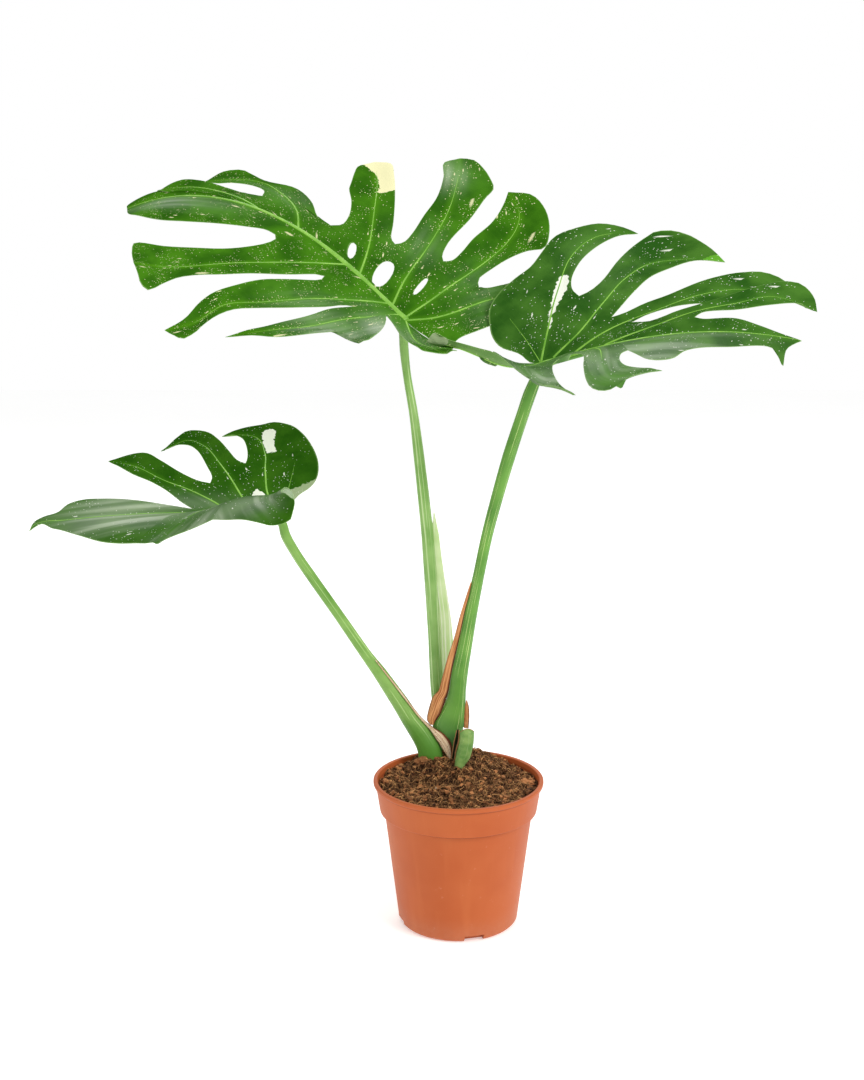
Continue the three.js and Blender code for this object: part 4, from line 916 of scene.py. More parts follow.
def make_object(name, places, faces, smooth_angle, *materials, material_of_face=None, uvs=None, values=None):
    """A piece from places in millimetres and faces; uvs are given for every corner of every face."""
    mesh = bpy.data.meshes.new(name)
    mesh.from_pydata((np.asarray(places) * MM).tolist(), [], [list(face) for face in faces])
    for material in materials:
        mesh.materials.append(material)
    if material_of_face is not None:
        mesh.polygons.foreach_set("material_index", np.asarray(material_of_face, np.int32))
    for label, data in (uvs or {}).items():
        layer = mesh.uv_layers.new(name=label)
        layer.data.foreach_set("uv", np.asarray(data, np.float32).ravel())
    for label, data in (values or {}).items():
        layer = mesh.attributes.new(label, "FLOAT", "POINT")
        layer.data.foreach_set("value", np.asarray(data, np.float32))
    mesh.polygons.foreach_set("use_smooth", [True] * len(mesh.polygons))
    mesh.set_sharp_from_angle(angle=math.radians(smooth_angle))
    piece = bpy.data.objects.new(name, mesh)
    bpy.context.collection.objects.link(piece)
    return piece


def settle(piece, slot, *nodes):
    """Every piece of the plant rides on the one body and may stand for measured nodes; the slot is not used."""
    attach(piece, "root")
    if nodes:
        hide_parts(*nodes)
    print(piece.name, "has", len(piece.data.polygons), "faces", "and replaces " + ", ".join(nodes) if nodes else "")


# %% [markdown]
# ## Shader group: specks of variegation
# Thai constellation leaves look as if sprayed with cream paint. The specks are mostly round dots of a millimetre,
# with some dashes up to a centimetre long that run along the lobe. Three layers of Voronoi cells make them: a cell
# shows a speck only if its random value is low enough, and a stretched pattern gives the dashes. The group is
# shared by the upper sides and the underside, each with its own amount.


# %% Specks group
# Cells per metre across and along the lobe, the size of a speck in its cell, and how often a cell has one.
SPECK_LAYERS = ((430, 370, 0.165, 0.52), (130, 36, 0.105, 0.55), (56, 14, 0.085, 0.3))
SPECK_SHARPNESS = 14.0
SPECK_RAGGEDNESS = 0.0012


def speck_layer(tree, vector, across_scale, along_scale, radius, chance, clumps):
    stretched = add_node(tree, "Mapping", Vector=vector, Scale=(along_scale, across_scale, 1)).outputs[0]
    cells = add_node(tree, "TexVoronoi", {"voronoi_dimensions": "2D"}, Vector=stretched, Scale=1.0)
    parts = add_node(tree, "SeparateColor", Color=cells.outputs["Color"])
    picked = maths(tree, "LESS_THAN", parts.outputs["Red"], multiply(tree, clumps, chance))
    size = multiply(tree, maths(tree, "MULTIPLY_ADD", parts.outputs["Green"], 0.9, 0.5), radius)
    soft = maths(tree, "SUBTRACT", size, cells.outputs["Distance"])
    dot = maths(tree, "MULTIPLY", soft, SPECK_SHARPNESS, clamp=True)
    strength = maths(tree, "MULTIPLY_ADD", parts.outputs["Blue"], 0.3, 0.7)
    return multiply(tree, multiply(tree, dot, strength), picked)


def build_specks_group():
    inputs = {"Place": ("Vector", None), "Amount": ("Float", 1.0)}
    group, given, result = new_group("cream_specks", inputs, {"Mask": "Float"})
    place = given.outputs["Place"]
    shake = add_node(group, "VectorMath", {"operation": "MULTIPLY_ADD"})
    ragged = noise_texture(group, place, 900.0).outputs["Color"]
    for socket, value in zip(shake.inputs, (ragged, (SPECK_RAGGEDNESS, SPECK_RAGGEDNESS, 0), place)):
        fill(group, socket, value)
    drift = noise_texture(group, place, 28.0).outputs["Fac"]
    clumps = multiply(group, smooth_step(group, drift, 0.3, 0.66), given.outputs["Amount"])
    layers = [speck_layer(group, shake.outputs[0], *layer, clumps) for layer in SPECK_LAYERS]
    mask = maths(group, "MAXIMUM", maths(group, "MAXIMUM", layers[0], layers[1]), layers[2])
    fill(group, result.inputs["Mask"], mask)
    return group


specks_group = build_specks_group()
print("Specks group has", len(specks_group.nodes), "nodes")

# %% [markdown]
# ## Shader group: side veins
# Fine side veins leave each main vein at an angle and run on to the margin. The place across the lobe, doubled back,
# tilts the stripes, and slow noise bends them a little. The group gives a thin line mask for the colour and a
# height for the bump, so the blade gets its soft ribs between the veins.


# %% Side veins group
SIDE_VEIN_SLOPE = 0.75
SIDE_VEIN_BEND = 0.012


def build_side_veins_group():
    inputs = {"Place": ("Vector", None), "Spacing": ("Float", 0.009)}
    group, given, result = new_group("side_veins", inputs, {"Line": "Float", "Height": "Float"})
    place = given.outputs["Place"]
    parts = add_node(group, "SeparateXYZ", Vector=place)
    across = maths(group, "ABSOLUTE", parts.outputs["Y"])
    bend = multiply(group, noise_texture(group, place, 20.0).outputs["Fac"], SIDE_VEIN_BEND)
    drifted = maths(group, "ADD", parts.outputs["X"], bend)
    ahead = maths(group, "SUBTRACT", drifted, multiply(group, across, SIDE_VEIN_SLOPE))
    phase = maths(group, "FRACT", maths(group, "DIVIDE", ahead, given.outputs["Spacing"]))
    away = maths(group, "ABSOLUTE", maths(group, "SUBTRACT", phase, 0.5))
    fill(group, result.inputs["Line"], smooth_step(group, away, 0.06, 0.0))
    fill(group, result.inputs["Height"], smooth_step(group, away, 0.0, 0.5))
    return group


side_veins_group = build_side_veins_group()
print("Side veins group has", len(side_veins_group.nodes), "nodes")

# %% [markdown]
# ## Shader group: living grain
# Leaves, stalks, sheaths and even the plastic are never one tone. This group gives a slow tone that drifts over
# millimetres or centimetres and a fine grain for the bump, and each material chooses the two scales. Where a surface
# has fibres, a helper adds noise that is stretched along one direction.


# %% Grain group
def build_grain_group():
    inputs = {"Place": ("Vector", None), "Tone Scale": ("Float", 30.0), "Fine Scale": ("Float", 900.0)}
    group, given, result = new_group("living_grain", inputs, {"Tone": "Float", "Fine": "Float"})
    place = given.outputs["Place"]
    tone = noise_texture(group, place, given.outputs["Tone Scale"], 3.0, "3D").outputs["Fac"]
    fine = noise_texture(group, place, given.outputs["Fine Scale"], 2.0, "3D").outputs["Fac"]
    fill(group, result.inputs["Tone"], smooth_step(group, tone, 0.3, 0.7))
    fill(group, result.inputs["Fine"], fine)
    return group


def living_grain(tree, place, tone_scale, fine_scale):
    grain = place_group(tree, grain_group, Place=place, Tone_Scale=tone_scale, Fine_Scale=fine_scale)
    return grain.outputs["Tone"], grain.outputs["Fine"]


def fibres(tree, place, along_scale, across_scale, detail=2.0):
    """Noise stretched along the piece, whose map runs along in u and across in v."""
    stretched = add_node(tree, "Mapping", Vector=place, Scale=(along_scale, across_scale, 1)).outputs[0]
    return noise_texture(tree, stretched, 1.0, detail).outputs["Fac"]


grain_group = build_grain_group()
print("Grain group has", len(grain_group.nodes), "nodes")

# %% [markdown]
# ## The two sides of a leaf
# The upper side is a deep green. From the base up: two greens mixed by slow noise, a lighter green close to the
# veins, faint side veins, a pale edge, and a painted grey sheen where the wax lies, then the bright fields, the cream
# fields and the specks on top. The leaf itself is almost matt. Its shine is a coat of wax, and the wax patches and
# fine streaks along the lobe set how much of it there is and how much painted sheen. The top leaf is the youngest and
# lightest; the lower leaves are darker partly with age and partly with painted shade, so each leaf gets its own
# greens.
# The underside is paler and greyer and has stronger ribs.

# %% Leaf materials
# Four greens for each leaf: the dark and the middle one of the blade, one close to the veins, one for the side veins.
# The right and left leaves' greens are darker than the top leaf's, partly with age and partly as painted shade.
TOP_GREENS = (colour(44, 94, 16), colour(70, 128, 24), colour(90, 154, 24), colour(90, 150, 36))
RIGHT_GREENS = (colour(40, 86, 24), colour(76, 124, 44), colour(78, 134, 40), colour(84, 136, 52))
LEFT_GREENS = (colour(38, 86, 14), colour(60, 108, 24), colour(66, 124, 20), colour(78, 132, 36))
UNDER_GREENS = (colour(78, 118, 52), colour(106, 146, 76), colour(126, 166, 88), colour(132, 166, 100))
BRIGHT_GREEN = colour(104, 176, 50)
PALE_HEM = colour(176, 192, 150)
PALE_EDGE = colour(150, 190, 110)
# A painted grey sheen: the reflection of a bright room, painted into the colour where the wax lies.
PAINTED_SHEEN_GREY = colour(184, 200, 166)
CREAM = colour(244, 240, 190)
WHITE_CREAM = colour(250, 252, 238)
NEAR_VEIN_SHARE = 0.4
SIDE_VEIN_SHARE = 0.1
PALE_EDGE_SHARE = 0.5
PAINTED_SHEEN_HIDES_SPECKS = 0.7
PAINTED_SHEEN_SHARE = 0.7
BRIGHT_SHARE = 0.8
FIELD_RAGGEDNESS = 6.0
WAX_ROUGHNESS = 0.34


def leaf_base_colour(tree, lobe, tone, line, greens):
    dark, middle, near_vein, line_colour = greens
    across = maths(tree, "ABSOLUTE", part_of(tree, lobe, "Y"))
    near = multiply(tree, smooth_step(tree, across, 0.007, 0.0), NEAR_VEIN_SHARE)
    edge = multiply(tree, smooth_step(tree, attribute(tree, "edge"), 0.7, 0.95), PALE_EDGE_SHARE)
    line = multiply(tree, line, SIDE_VEIN_SHARE)
    return layered(tree, dark, (tone, middle), (near, near_vein), (line, line_colour), (edge, PALE_EDGE))


def add_variegation(tree, base, lobe, flat, cream, bright, amount):
    """The bright fields, the cream fields and the specks, laid over the greens."""
    # The specks fade under the painted grey sheen.
    showing = maths(tree, "SUBTRACT", 1.0, multiply(tree, attribute(tree, "wax"), PAINTED_SHEEN_HIDES_SPECKS))
    specks = place_group(tree, specks_group, Place=lobe, Amount=multiply(tree, showing, amount))
    ragged = noise_texture(tree, flat, 200.0, 4.0).outputs["Fac"]
    shift = multiply(tree, maths(tree, "SUBTRACT", ragged, 0.5), FIELD_RAGGEDNESS)
    cream_mask, bright_mask = (
        smooth_step(tree, maths(tree, "ADD", attribute(tree, label), shift), -0.4, 0.4)
        for label in ("cream_depth", "bright_depth"))
    cream_mask = maths(tree, "MAXIMUM", cream_mask, specks.outputs["Mask"])
    return layered(tree, base, (multiply(tree, bright_mask, BRIGHT_SHARE), bright), (cream_mask, cream))


def wax_and_painted_sheen_mask(tree, lobe):
    """How much wax and painted grey sheen there is: the patches, broken up by fine streaks along the lobe."""
    streaks = maths(tree, "MULTIPLY_ADD", smooth_step(tree, fibres(tree, lobe, 7, 80), 0.35, 0.65), 0.6, 0.4)
    return multiply(tree, attribute(tree, "wax"), streaks)


def leaf_material(name, greens, cream, bright, amount, relief):
    material, tree = new_material(name)
    lobe, flat = uv_map(tree, "lobe"), uv_map(tree, "flat")
    tone, fine = living_grain(tree, flat, 26.0, 900.0)
    ribs = place_group(tree, side_veins_group, Place=lobe, Spacing=0.0085)
    base = leaf_base_colour(tree, lobe, tone, ribs.outputs["Line"], greens)
    wax = wax_and_painted_sheen_mask(tree, lobe)
    # Painted sheen: the colour is mixed towards a pale grey-green where the wax lies.
    base = mix_colours(tree, multiply(tree, wax, PAINTED_SHEEN_SHARE), base, PAINTED_SHEEN_GREY)
    base = add_variegation(tree, base, lobe, flat, cream, bright, amount)
    height = maths(tree, "MULTIPLY_ADD", fine, 0.12, ribs.outputs["Height"])
    shader = finish_surface(tree, base, 0.6, 0.0, height, relief, 0.0007)
    fill(tree, shader.inputs["Coat Weight"], wax)
    shader.inputs["Coat Roughness"].default_value = WAX_ROUGHNESS
    return material


upper_sides = {
    "top": leaf_material("leaf_upper_top", TOP_GREENS, CREAM, BRIGHT_GREEN, 1.0, 0.1),
    "right": leaf_material("leaf_upper_right", RIGHT_GREENS, WHITE_CREAM, BRIGHT_GREEN, 0.6, 0.1),
    "left": leaf_material("leaf_upper_left", LEFT_GREENS, WHITE_CREAM, PALE_HEM, 0.5, 0.12),
}
underside = leaf_material("leaf_underside", UNDER_GREENS, CREAM, PALE_HEM, 0.3, 0.35)
print("Leaf materials:", ", ".join(m.name for m in upper_sides.values()), underside.name)

# %% [markdown]
# ## The blades
# A blade is a closed skin: the sheet moved up by half its thickness, the sheet moved down, and a wall round every
# margin and hole. The thickness tapers at the margin, as on the plant, where the edge is thin enough to catch light.

# %% Build the blades
BLADE_HALF = 0.45
EDGE_HALF = 0.22


def margin_edges(triangles):
    """Directed edges that only one triangle has: the outline and the holes."""
    edges = {}
    for a, b, c in triangles.tolist():
        for pair in ((a, b), (b, c), (c, a)):
            if (pair[1], pair[0]) in edges:
                del edges[(pair[1], pair[0])]
            else:
                edges[pair] = True
    return list(edges)


def make_blade(name):
    sheet, surface = sheets[name], surfaces[name]
    flat, triangles = surface["flat"], surface["triangles"]
    count = len(flat)
    margin = margin_edges(triangles)
    on_margin = [a for a, _ in margin]
    half, edge = np.full(count, BLADE_HALF), np.zeros(count)
    half[on_margin], edge[on_margin] = EDGE_HALF, 1
    offset = surface["normals"] * half[:, None]
    places = np.vstack([surface["places"] + offset, surface["places"] - offset])
    walls = [(b, a, a + count, b + count) for a, b in margin]
    faces = triangles.tolist() + (triangles[:, ::-1] + count).tolist() + walls
    sides = [0] * len(triangles) + [1] * (len(triangles) + len(walls))
    lobe = np.array(sheet.corners, float)
    if leaves[name]["far_side"] < 0:
        lobe = lobe[:, ::-1]
    wall_uv = flat[[(b, a, a, b) for a, b in margin]]
    uvs = {label: np.vstack([part.reshape(-1, 2) for part in (upper, upper[:, ::-1], wall_uv)]) * MM
           for label, upper in (("flat", flat[triangles]), ("lobe", lobe))}
    values = {
        "cream_depth": field_depth(flat, CREAM_FIELDS[name]), "bright_depth": field_depth(flat, BRIGHT_FIELDS[name]),
        "wax": wax_and_painted_sheen_amount(flat, WAX_AND_PAINTED_SHEEN_PATCHES[name]), "edge": edge,
    }
    values = {label: np.tile(value, 2) for label, value in values.items()}
    blade = make_object(f"blade_{name}", places, faces, 50, upper_sides[name], underside,
                        material_of_face=sides, uvs=uvs, values=values)
    settle(blade, "leaf_green", f"leaf_{name}")


for leaf_name in leaves:
    make_blade(leaf_name)

# %% [markdown]
# ## Veins
# The midrib and the main veins are pale yellow-green ribs that stand out on both sides. They are real ribbons, not
# paint, so that they catch light from any side. Since the sheet keeps a row of points along every vein, a ribbon
# simply follows those points, and its width falls from the midrib to the lobe's tip.

# %% Vein ribbons
# Across and up, as shares of a vein's half width and height.
VEIN_SECTION = [(-1.0, -0.25), (-0.75, 0.55), (-0.3, 0.95), (0.3, 0.95), (0.75, 0.55), (1.0, -0.25)]
MIDRIB_HALF_WIDTH = {"top": 5.4, "right": 3.0, "left": 2.2}
MIDRIB_TIP_HALF_WIDTH = 0.35
VEIN_HALF_WIDTH = 1.35
VEIN_TIP_HALF_WIDTH = 0.22
VEIN_SINK = 0.12
# The upper side and the underside, and how high a vein stands out of each for its width.
VEIN_SIDES = ((1, 0.42), (-1, 0.75))
# Basal veins that no row of the sheet follows.
EXTRA_HALF_WIDTHS = (0.6, 0.15)
EXTRA_VEINS = {
    "top": [],
    "right": [[(0, 0), (-10, 30), (-22, 62)]],
    "left": [[(-2, 0), (-9, 32), (-18, 72)]],
}


def vein_material():
    material, tree = new_material("vein_green")
    tone, fine = living_grain(tree, object_place(tree), 60.0, 1500.0)
    base = mix_colours(tree, tone, colour(112, 174, 48), colour(150, 204, 80))
    finish_surface(tree, base, 0.45, 0.35, fine, 0.3, 0.0003)
    return material


def ribbon(centres, normals, half_widths, heights, side):
    """A low rounded rib along the centres; side is 1 for the upper side and -1 for the underside."""
    across = unit(np.cross(normals, np.gradient(centres, axis=0)))
    lines = []
    for out, up in VEIN_SECTION:
        lifted = normals * (side * (BLADE_HALF - VEIN_SINK) + side * up * heights)[:, None]
        lines.append(centres + across * (out * half_widths)[:, None] + lifted)
    faces = tube_faces(len(centres), len(VEIN_SECTION), inside_out=side > 0)
    return np.stack(lines, axis=1).reshape(-1, 3), faces


def on_blade(name, points):
    """Places and normals of a blade at any flat points, corrected by its four nearest mesh points."""
    surface = surfaces[name]
    away = np.linalg.norm(surface["flat"][None] - points[:, None], axis=2)
    nearest = np.argsort(away, axis=1)[:, :4]
    weights = 1 / (np.take_along_axis(away, nearest, 1) + 0.5)
    weights = (weights / weights.sum(axis=1)[:, None])[:, :, None]
    shift = ((surface["places"] - surface["bare"])[nearest] * weights).sum(axis=1)
    places = bend_flat(leaves[name], surface["frames"], points[:, 0], points[:, 1]) + shift
    return places, unit((surface["normals"][nearest] * weights).sum(axis=1))


def vein_lines(name):
    """For each vein of a leaf: its centres, normals, and half widths at its start and end."""
    sheet, surface = sheets[name], surfaces[name]
    places, normals, flat = surface["places"], surface["normals"], surface["flat"]
    midrib = np.array(sheet.midrib)
    yield places[midrib], normals[midrib], MIDRIB_HALF_WIDTH[name], MIDRIB_TIP_HALF_WIDTH
    for vein in sheet.veins:
        start = midrib[np.argmin(np.linalg.norm(flat[midrib] - flat[vein[0]], axis=1))]
        yield places[[start, *vein]], normals[[start, *vein]], VEIN_HALF_WIDTH, VEIN_TIP_HALF_WIDTH
    for line in EXTRA_VEINS[name]:
        yield *on_blade(name, along_curve(line, np.linspace(0, 1, 30))), *EXTRA_HALF_WIDTHS


def make_veins(name, material):
    places, faces = [], []
    for centres, normals, start, end in vein_lines(name):
        widths = start + (end - start) * np.linspace(0, 1, len(centres)) ** 0.9
        widths[-1] *= 0.3
        for side, height in VEIN_SIDES:
            ribs, quads = ribbon(centres, normals, widths, height * widths ** 0.6, side)
            faces += shifted(quads, len(places))
            places += ribs.tolist()
    settle(make_object(f"veins_{name}", places, faces, 180, material), "leaf_green")


vein_green = vein_material()
for leaf_name in leaves:
    make_veins(leaf_name, vein_green)

# %% [markdown]
# ## Stalks
# A leaf stalk is a smooth, slightly oval rod that swells at its foot, where it clasped the shoot, and again at its
# knee below the blade. It could be a bevelled curve, but an own ring-by-ring tube lets its width and depth differ
# and keeps it on the measured form. Each row of a stalk's table is a centre with the half width there and, where it
# differs, the half depth. Under the blade the stalk goes on as the thick midrib. The wing, the sheaths and the scale
# are thin curled strips, and their rows are a centre, the full width and the curl.

# %% Stalk and sheath tables
TOP_STALK = [
    [-14, 63, 116, 6.8], [-14, 63, 150, 7], [-17, 62.5, 190, 7.2], [-21, 61.5, 224, 6.9], [-24, 59, 276, 6.2],
    [-26, 57.5, 313, 6.4], [-29, 56, 360, 6.5], [-31, 55, 386, 6.1], [-35, 53.5, 427, 5.8],
    [-39.5, 52, 468, 5.3], [-44.3, 50.3, 508, 4.4], [-50.8, 50, 547, 3.9], [-53.5, 49.6, 572, 4.4],
    [-54.6, 50.3, 590, 4.2],
]
RIGHT_STALK = [
    [-4, 47, 116, 8, 7], [-4, 47, 157, 8.6, 7], [-4.5, 46.8, 169, 9.6, 7.2], [-6.5, 46.2, 179, 12.4, 7.3],
    [-9.3, 45.5, 188.5, 17, 7.2], [-7, 45, 197, 14.9, 7.2], [-2.5, 44, 214, 10.2, 7.2], [-0.8, 42, 228, 8.9, 7],
    [1.1, 39, 247, 8.9, 6.8], [6.3, 34, 277, 7.5, 6.6], [11.7, 29, 310, 6.7, 6.4], [19.7, 22, 353, 5.6],
    [27.6, 16, 395, 5.6], [37.2, 8, 436, 5.9], [47.7, 2, 476, 6.3], [59.9, -2, 516, 6], [66, -3, 535, 6.2],
    [71, -3.4, 548, 5.6], [74, -3.4, 555.5, 4.4],
]
LEFT_STALK = [
    [-27, 44, 116, 10, 8], [-27, 44, 151, 12.6, 8.2], [-30, 43.5, 166, 12, 8.2], [-36, 43, 178, 11, 8],
    [-41.5, 42, 187, 10.4, 8], [-47.6, 41.5, 196, 9.4, 7.8], [-57.4, 40, 213, 8.7, 7.4],
    [-68.4, 37.5, 231, 7.8, 7], [-79.2, 33.5, 249, 6.9, 6.4], [-91.5, 28.5, 268, 5.7],
    [-118.8, 16, 314, 5.1], [-145, 5, 357, 5], [-157.4, 0, 378, 4.7], [-167.8, -4, 399, 4.8], [-171, -4.4, 411, 4.3],
]
CUT_STALK = [[2.2, 28, 118, 5.2, 5], [2.4, 28, 154, 5.6, 5.2], [5.5, 28, 163, 7.3, 5.2], [8.6, 28, 177, 7.2, 5],
    [9.4, 28, 200, 7, 4.6]]
TOP_WING = [[-24.4, 54, 409, 0.9, 0], [-23, 54.5, 386, 7, 0.4], [-21, 55, 360, 9, 0.6], [-17.5, 56, 324, 13, 1],
    [-15, 57, 302, 14.5, 1.2], [-14, 58, 276, 17.5, 1.6], [-13, 58.5, 244, 19, 1.6], [-13, 59, 222, 14, 1]]
BROWN_SHEATH = [[12.1, 19.5, 346, 0.9, 0.1], [9.4, 21.5, 334, 2.4, 0.3], [4, 25, 313, 3.4, 0.5],
    [-1.5, 29, 287, 4.9, 0.6], [-7.8, 32.5, 262, 6.9, 0.8], [-12.3, 34.5, 241, 8.2, 1], [-15.2, 36, 227, 9.6, 1.2],
    [-19.4, 37, 219, 13.6, 2], [-23.7, 37.5, 206, 12.8, 2.2], [-26.7, 38, 197, 9.8, 1.6],
    [-26.1, 38.5, 192, 3.2, 0.4]]
PAPERY_SHEATH = [[-82.6, 25.6, 264.5, 0.9, 0.1], [-70.8, 29.6, 247, 1.4, 0.1], [-59.6, 32.2, 231, 1.8, 0.2],
    [-37, 36.6, 199, 1.8, 0.2], [-25.4, 37.4, 187, 4.6, 0.4], [-18, 37.3, 179, 9.6, 1.2],
    [-12.7, 37, 171.6, 11, 1.6], [-10.6, 37, 166.6, 9, 1.2], [-8.6, 37, 160, 4.6, 0.5], [-7.8, 37, 156, 1.8, 0.2]]
CUT_SHEATH = [[-0.1, 34, 188.5, 2.8, -3], [-1.5, 34.5, 177, 5, -4], [-3.9, 35, 165, 3.6, -3.5],
    [-4.8, 35.3, 157, 4, -3]]
BROWN_SCALE = [[8.7, 41.6, 217, 0.9, 0.1], [9.1, 41.8, 210, 4, 0.3], [9.1, 42, 200, 5, 0.3],
    [8.6, 42.4, 187, 4.6, 0.2]]

MIDRIB_REACH = 0.62
MIDRIB_FIRST = 8
MIDRIB_START_RADIUS = 2.6
MIDRIB_END_RADIUS = 0.8
MIDRIB_BELOW = 0.9
MIDRIB_RISES = 0.3
MIDRIB_STATIONS = 9
print("Longest stalk:", round(curve_length([row[:3] for row in RIGHT_STALK])), "mm")

# %% Tubes along a centreline
FRONT = np.array([0.0, -1.0, 0.0])
MAP_GIRTH = 0.06
RUFFLES = 31


def along_stations(stations, count):
    """Centres, sides, backs, widths and depths at even steps along a piece."""
    centres = [row[:3] for row in stations]
    t, _ = even_parameters(centres, np.linspace(0, 1, count + 1))
    step = 1e-3
    along = unit(curve_points(centres, np.minimum(t + step, 1)) - curve_points(centres, np.maximum(t - step, 0)))
    side = unit(np.cross(along, FRONT))
    at, rows = t * (len(stations) - 1), np.arange(len(stations))
    # The depth is a row's last value; without one, the width is also the depth.
    widths, depths = (np.interp(at, rows, [row[3:][k] for row in stations]) for k in (0, -1))
    return curve_points(centres, t), side, np.cross(along, side), widths, depths


def tube(stations, sides=28, rings=150):
    centres, side, back, widths, depths = along_stations(stations, rings)
    angles = np.linspace(0, 2 * math.pi, sides, endpoint=False)
    ring = (side[:, None] * (widths[:, None] * np.cos(angles))[:, :, None]
            + back[:, None] * (depths[:, None] * np.sin(angles))[:, :, None])
    length = curve_length([row[:3] for row in stations]) * MM
    uv = [(length * r / rings, k / sides * MAP_GIRTH) for row in range(rings) for i in range(sides)
          for r, k in ((row, i), (row, i + 1), (row + 1, i + 1), (row + 1, i))]
    uv += [(0.0, 0.0)] * (2 * sides)
    return (centres[:, None] + ring).reshape(-1, 3), tube_faces(rings + 1, sides), uv


def with_midrib(stalk, name):
    """The stalk's stations, followed by those of the midrib under its blade."""
    surface, midrib = surfaces[name], sheets[name].midrib
    last = leaves[name]["tip"][-1][0] * MIDRIB_REACH
    stations = list(stalk)
    for share in np.linspace(0, 1, MIDRIB_STATIONS):
        x = MIDRIB_FIRST + (last - MIDRIB_FIRST) * share
        radius = MIDRIB_START_RADIUS + (MIDRIB_END_RADIUS - MIDRIB_START_RADIUS) * share
        place, normal = (np.array([np.interp(x, surface["flat"][midrib, 0], surface[key][midrib, k])
                                   for k in range(3)]) for key in ("places", "normals"))
        stations.append([*(place - normal * (radius + MIDRIB_BELOW - MIDRIB_RISES * share)), radius])
    return stations


def shell(stations, rows, columns, thickness, ruffle=0.0, phase=0.0):
    """A thin curled sheet along a centreline; its depths are its curl, and ruffle waves its edges."""
    centres, side, back, widths, curls = along_stations(stations, rows)
    u = np.linspace(-1, 1, columns + 1)
    share = np.linspace(0, 1, rows + 1)[:, None]
    wave = ruffle * np.sin(share * RUFFLES + phase + 1.7 * u) * np.abs(u) * np.minimum(widths / 6, 1)[:, None]
    middle = (centres[:, None] + side[:, None] * (u * widths[:, None] / 2)[:, :, None]
              + back[:, None] * (curls[:, None] * u * u + wave)[:, :, None])
    normal = unit(back[:, None] + side[:, None] * (-4 * curls[:, None] * u / widths[:, None])[:, :, None])
    front = (middle - normal * thickness / 2).reshape(-1, 3)
    rear = (middle + normal * thickness / 2).reshape(-1, 3)
    wide, count = columns + 1, len(front)
    faces, uv = [], []
    length = curve_length([row[:3] for row in stations]) * MM
    for row in range(rows):
        for column in range(columns):
            a = row * wide + column
            faces.append((a, a + 1, a + wide + 1, a + wide))
            faces.append((a + count, a + wide + count, a + wide + 1 + count, a + 1 + count))
            low, high = length * row / rows, length * (row + 1) / rows
            left, right = [u[k] * widths[row] / 2 * MM for k in (column, column + 1)]
            uv += [(low, left), (low, right), (high, right), (high, left)]
            uv += [(low, left), (high, left), (high, right), (low, right)]
    rim = list(range(columns)) + [row * wide + columns for row in range(rows)]
    rim += [rows * wide + column for column in range(columns, 0, -1)] + [row * wide for row in range(rows, 0, -1)]
    for a, b in zip(rim, rim[1:] + rim[:1]):
        faces.append((a, a + count, b + count, b))
        uv += [(0.0, 0.0)] * 4
    return np.vstack([front, rear]), faces, uv


# %% [markdown]
# ## Stalk finishes
# The stalks are juicy green with a satin skin. Under it run fine fibres along the length, and this cultivar adds
# pale streaks. The stripes come from noise that is stretched along the stalk, so one finish serves all three and the
# wing with other greens: the top stalk is almost celadon, the right one a vivid green and the left one between them.


# %% Stalk material
def stalk_material(name, dark, light, streak, streak_share, streak_scale, foot):
    """Greens along the stalk; foot is the colour low down, by the compost."""
    material, tree = new_material(name)
    uv, place = uv_map(tree, "along"), object_place(tree)
    tone, fine = living_grain(tree, place, 28.0, 1400.0)
    fibre = fibres(tree, uv, 6, 700)
    stripes = smooth_step(tree, fibres(tree, uv, 8, streak_scale), 1 - streak_share, 1.05 - streak_share)
    low_down = smooth_step(tree, part_of(tree, place, "Z"), 0.21, 0.165)
    base = layered(tree, dark, (tone, light), (smooth_step(tree, fibre, 0.56, 0.8), light), (stripes, streak),
                   (low_down, foot))
    relief = maths(tree, "ADD", multiply(tree, fibre, 4.0), fine)
    finish_surface(tree, base, 0.4, 0.35, relief, 0.3, 0.0001)
    return material


pale_stalk = stalk_material("stalk_celadon", colour(116, 162, 74), colour(150, 190, 106), colour(188, 214, 150),
                            0.40, 300, colour(108, 154, 78))
vivid_stalk = stalk_material("stalk_vivid", colour(78, 134, 42), colour(106, 159, 60), colour(214, 232, 150),
                             0.33, 1000, colour(82, 134, 68))
mid_stalk = stalk_material("stalk_mid", colour(92, 142, 48), colour(134, 176, 86), colour(184, 214, 138),
                           0.36, 500, colour(90, 148, 52))
wing_skin = stalk_material("stalk_wing", colour(192, 220, 146), colour(220, 236, 182), colour(236, 244, 212),
                           0.45, 400, colour(150, 190, 110))

for leaf_name, stalk, skin in (
        ("top", TOP_STALK, pale_stalk), ("right", RIGHT_STALK, vivid_stalk), ("left", LEFT_STALK, mid_stalk)):
    stalk_places, stalk_faces, stalk_uv = tube(with_midrib(stalk, leaf_name))
    petiole = make_object(f"petiole_{leaf_name}", stalk_places, stalk_faces, 60, skin, uvs={"along": stalk_uv})
    settle(petiole, "stalk_green", f"stalk_{leaf_name}")

# %% [markdown]
# ## The wing of the top stalk
# The sheath that once wrapped the next leaf stays on the top stalk as a pale wing with a free tip. It is a thin,
# slightly curled shell. A narrow roll along its outer edge gives the thick border seen in the photograph.

# %% Wing
WING_THICKNESS = 1.1
WING_EDGE_WIDTH = 2.4
WING_EDGE_PLACE = 0.96


def wing_edge():
    """Stations for the wing's outer edge, rolled over: a narrow tube along its right side."""
    centres, side, back, widths, curls = along_stations(TOP_WING, 24)
    edge = centres + side * (widths / 2)[:, None] * WING_EDGE_PLACE + back * curls[:, None] * 0.92
    radii = np.minimum(widths * 0.11, WING_EDGE_WIDTH / 2)
    return [[*p, r, r * 0.7] for p, r in zip(edge.tolist(), radii.tolist())]


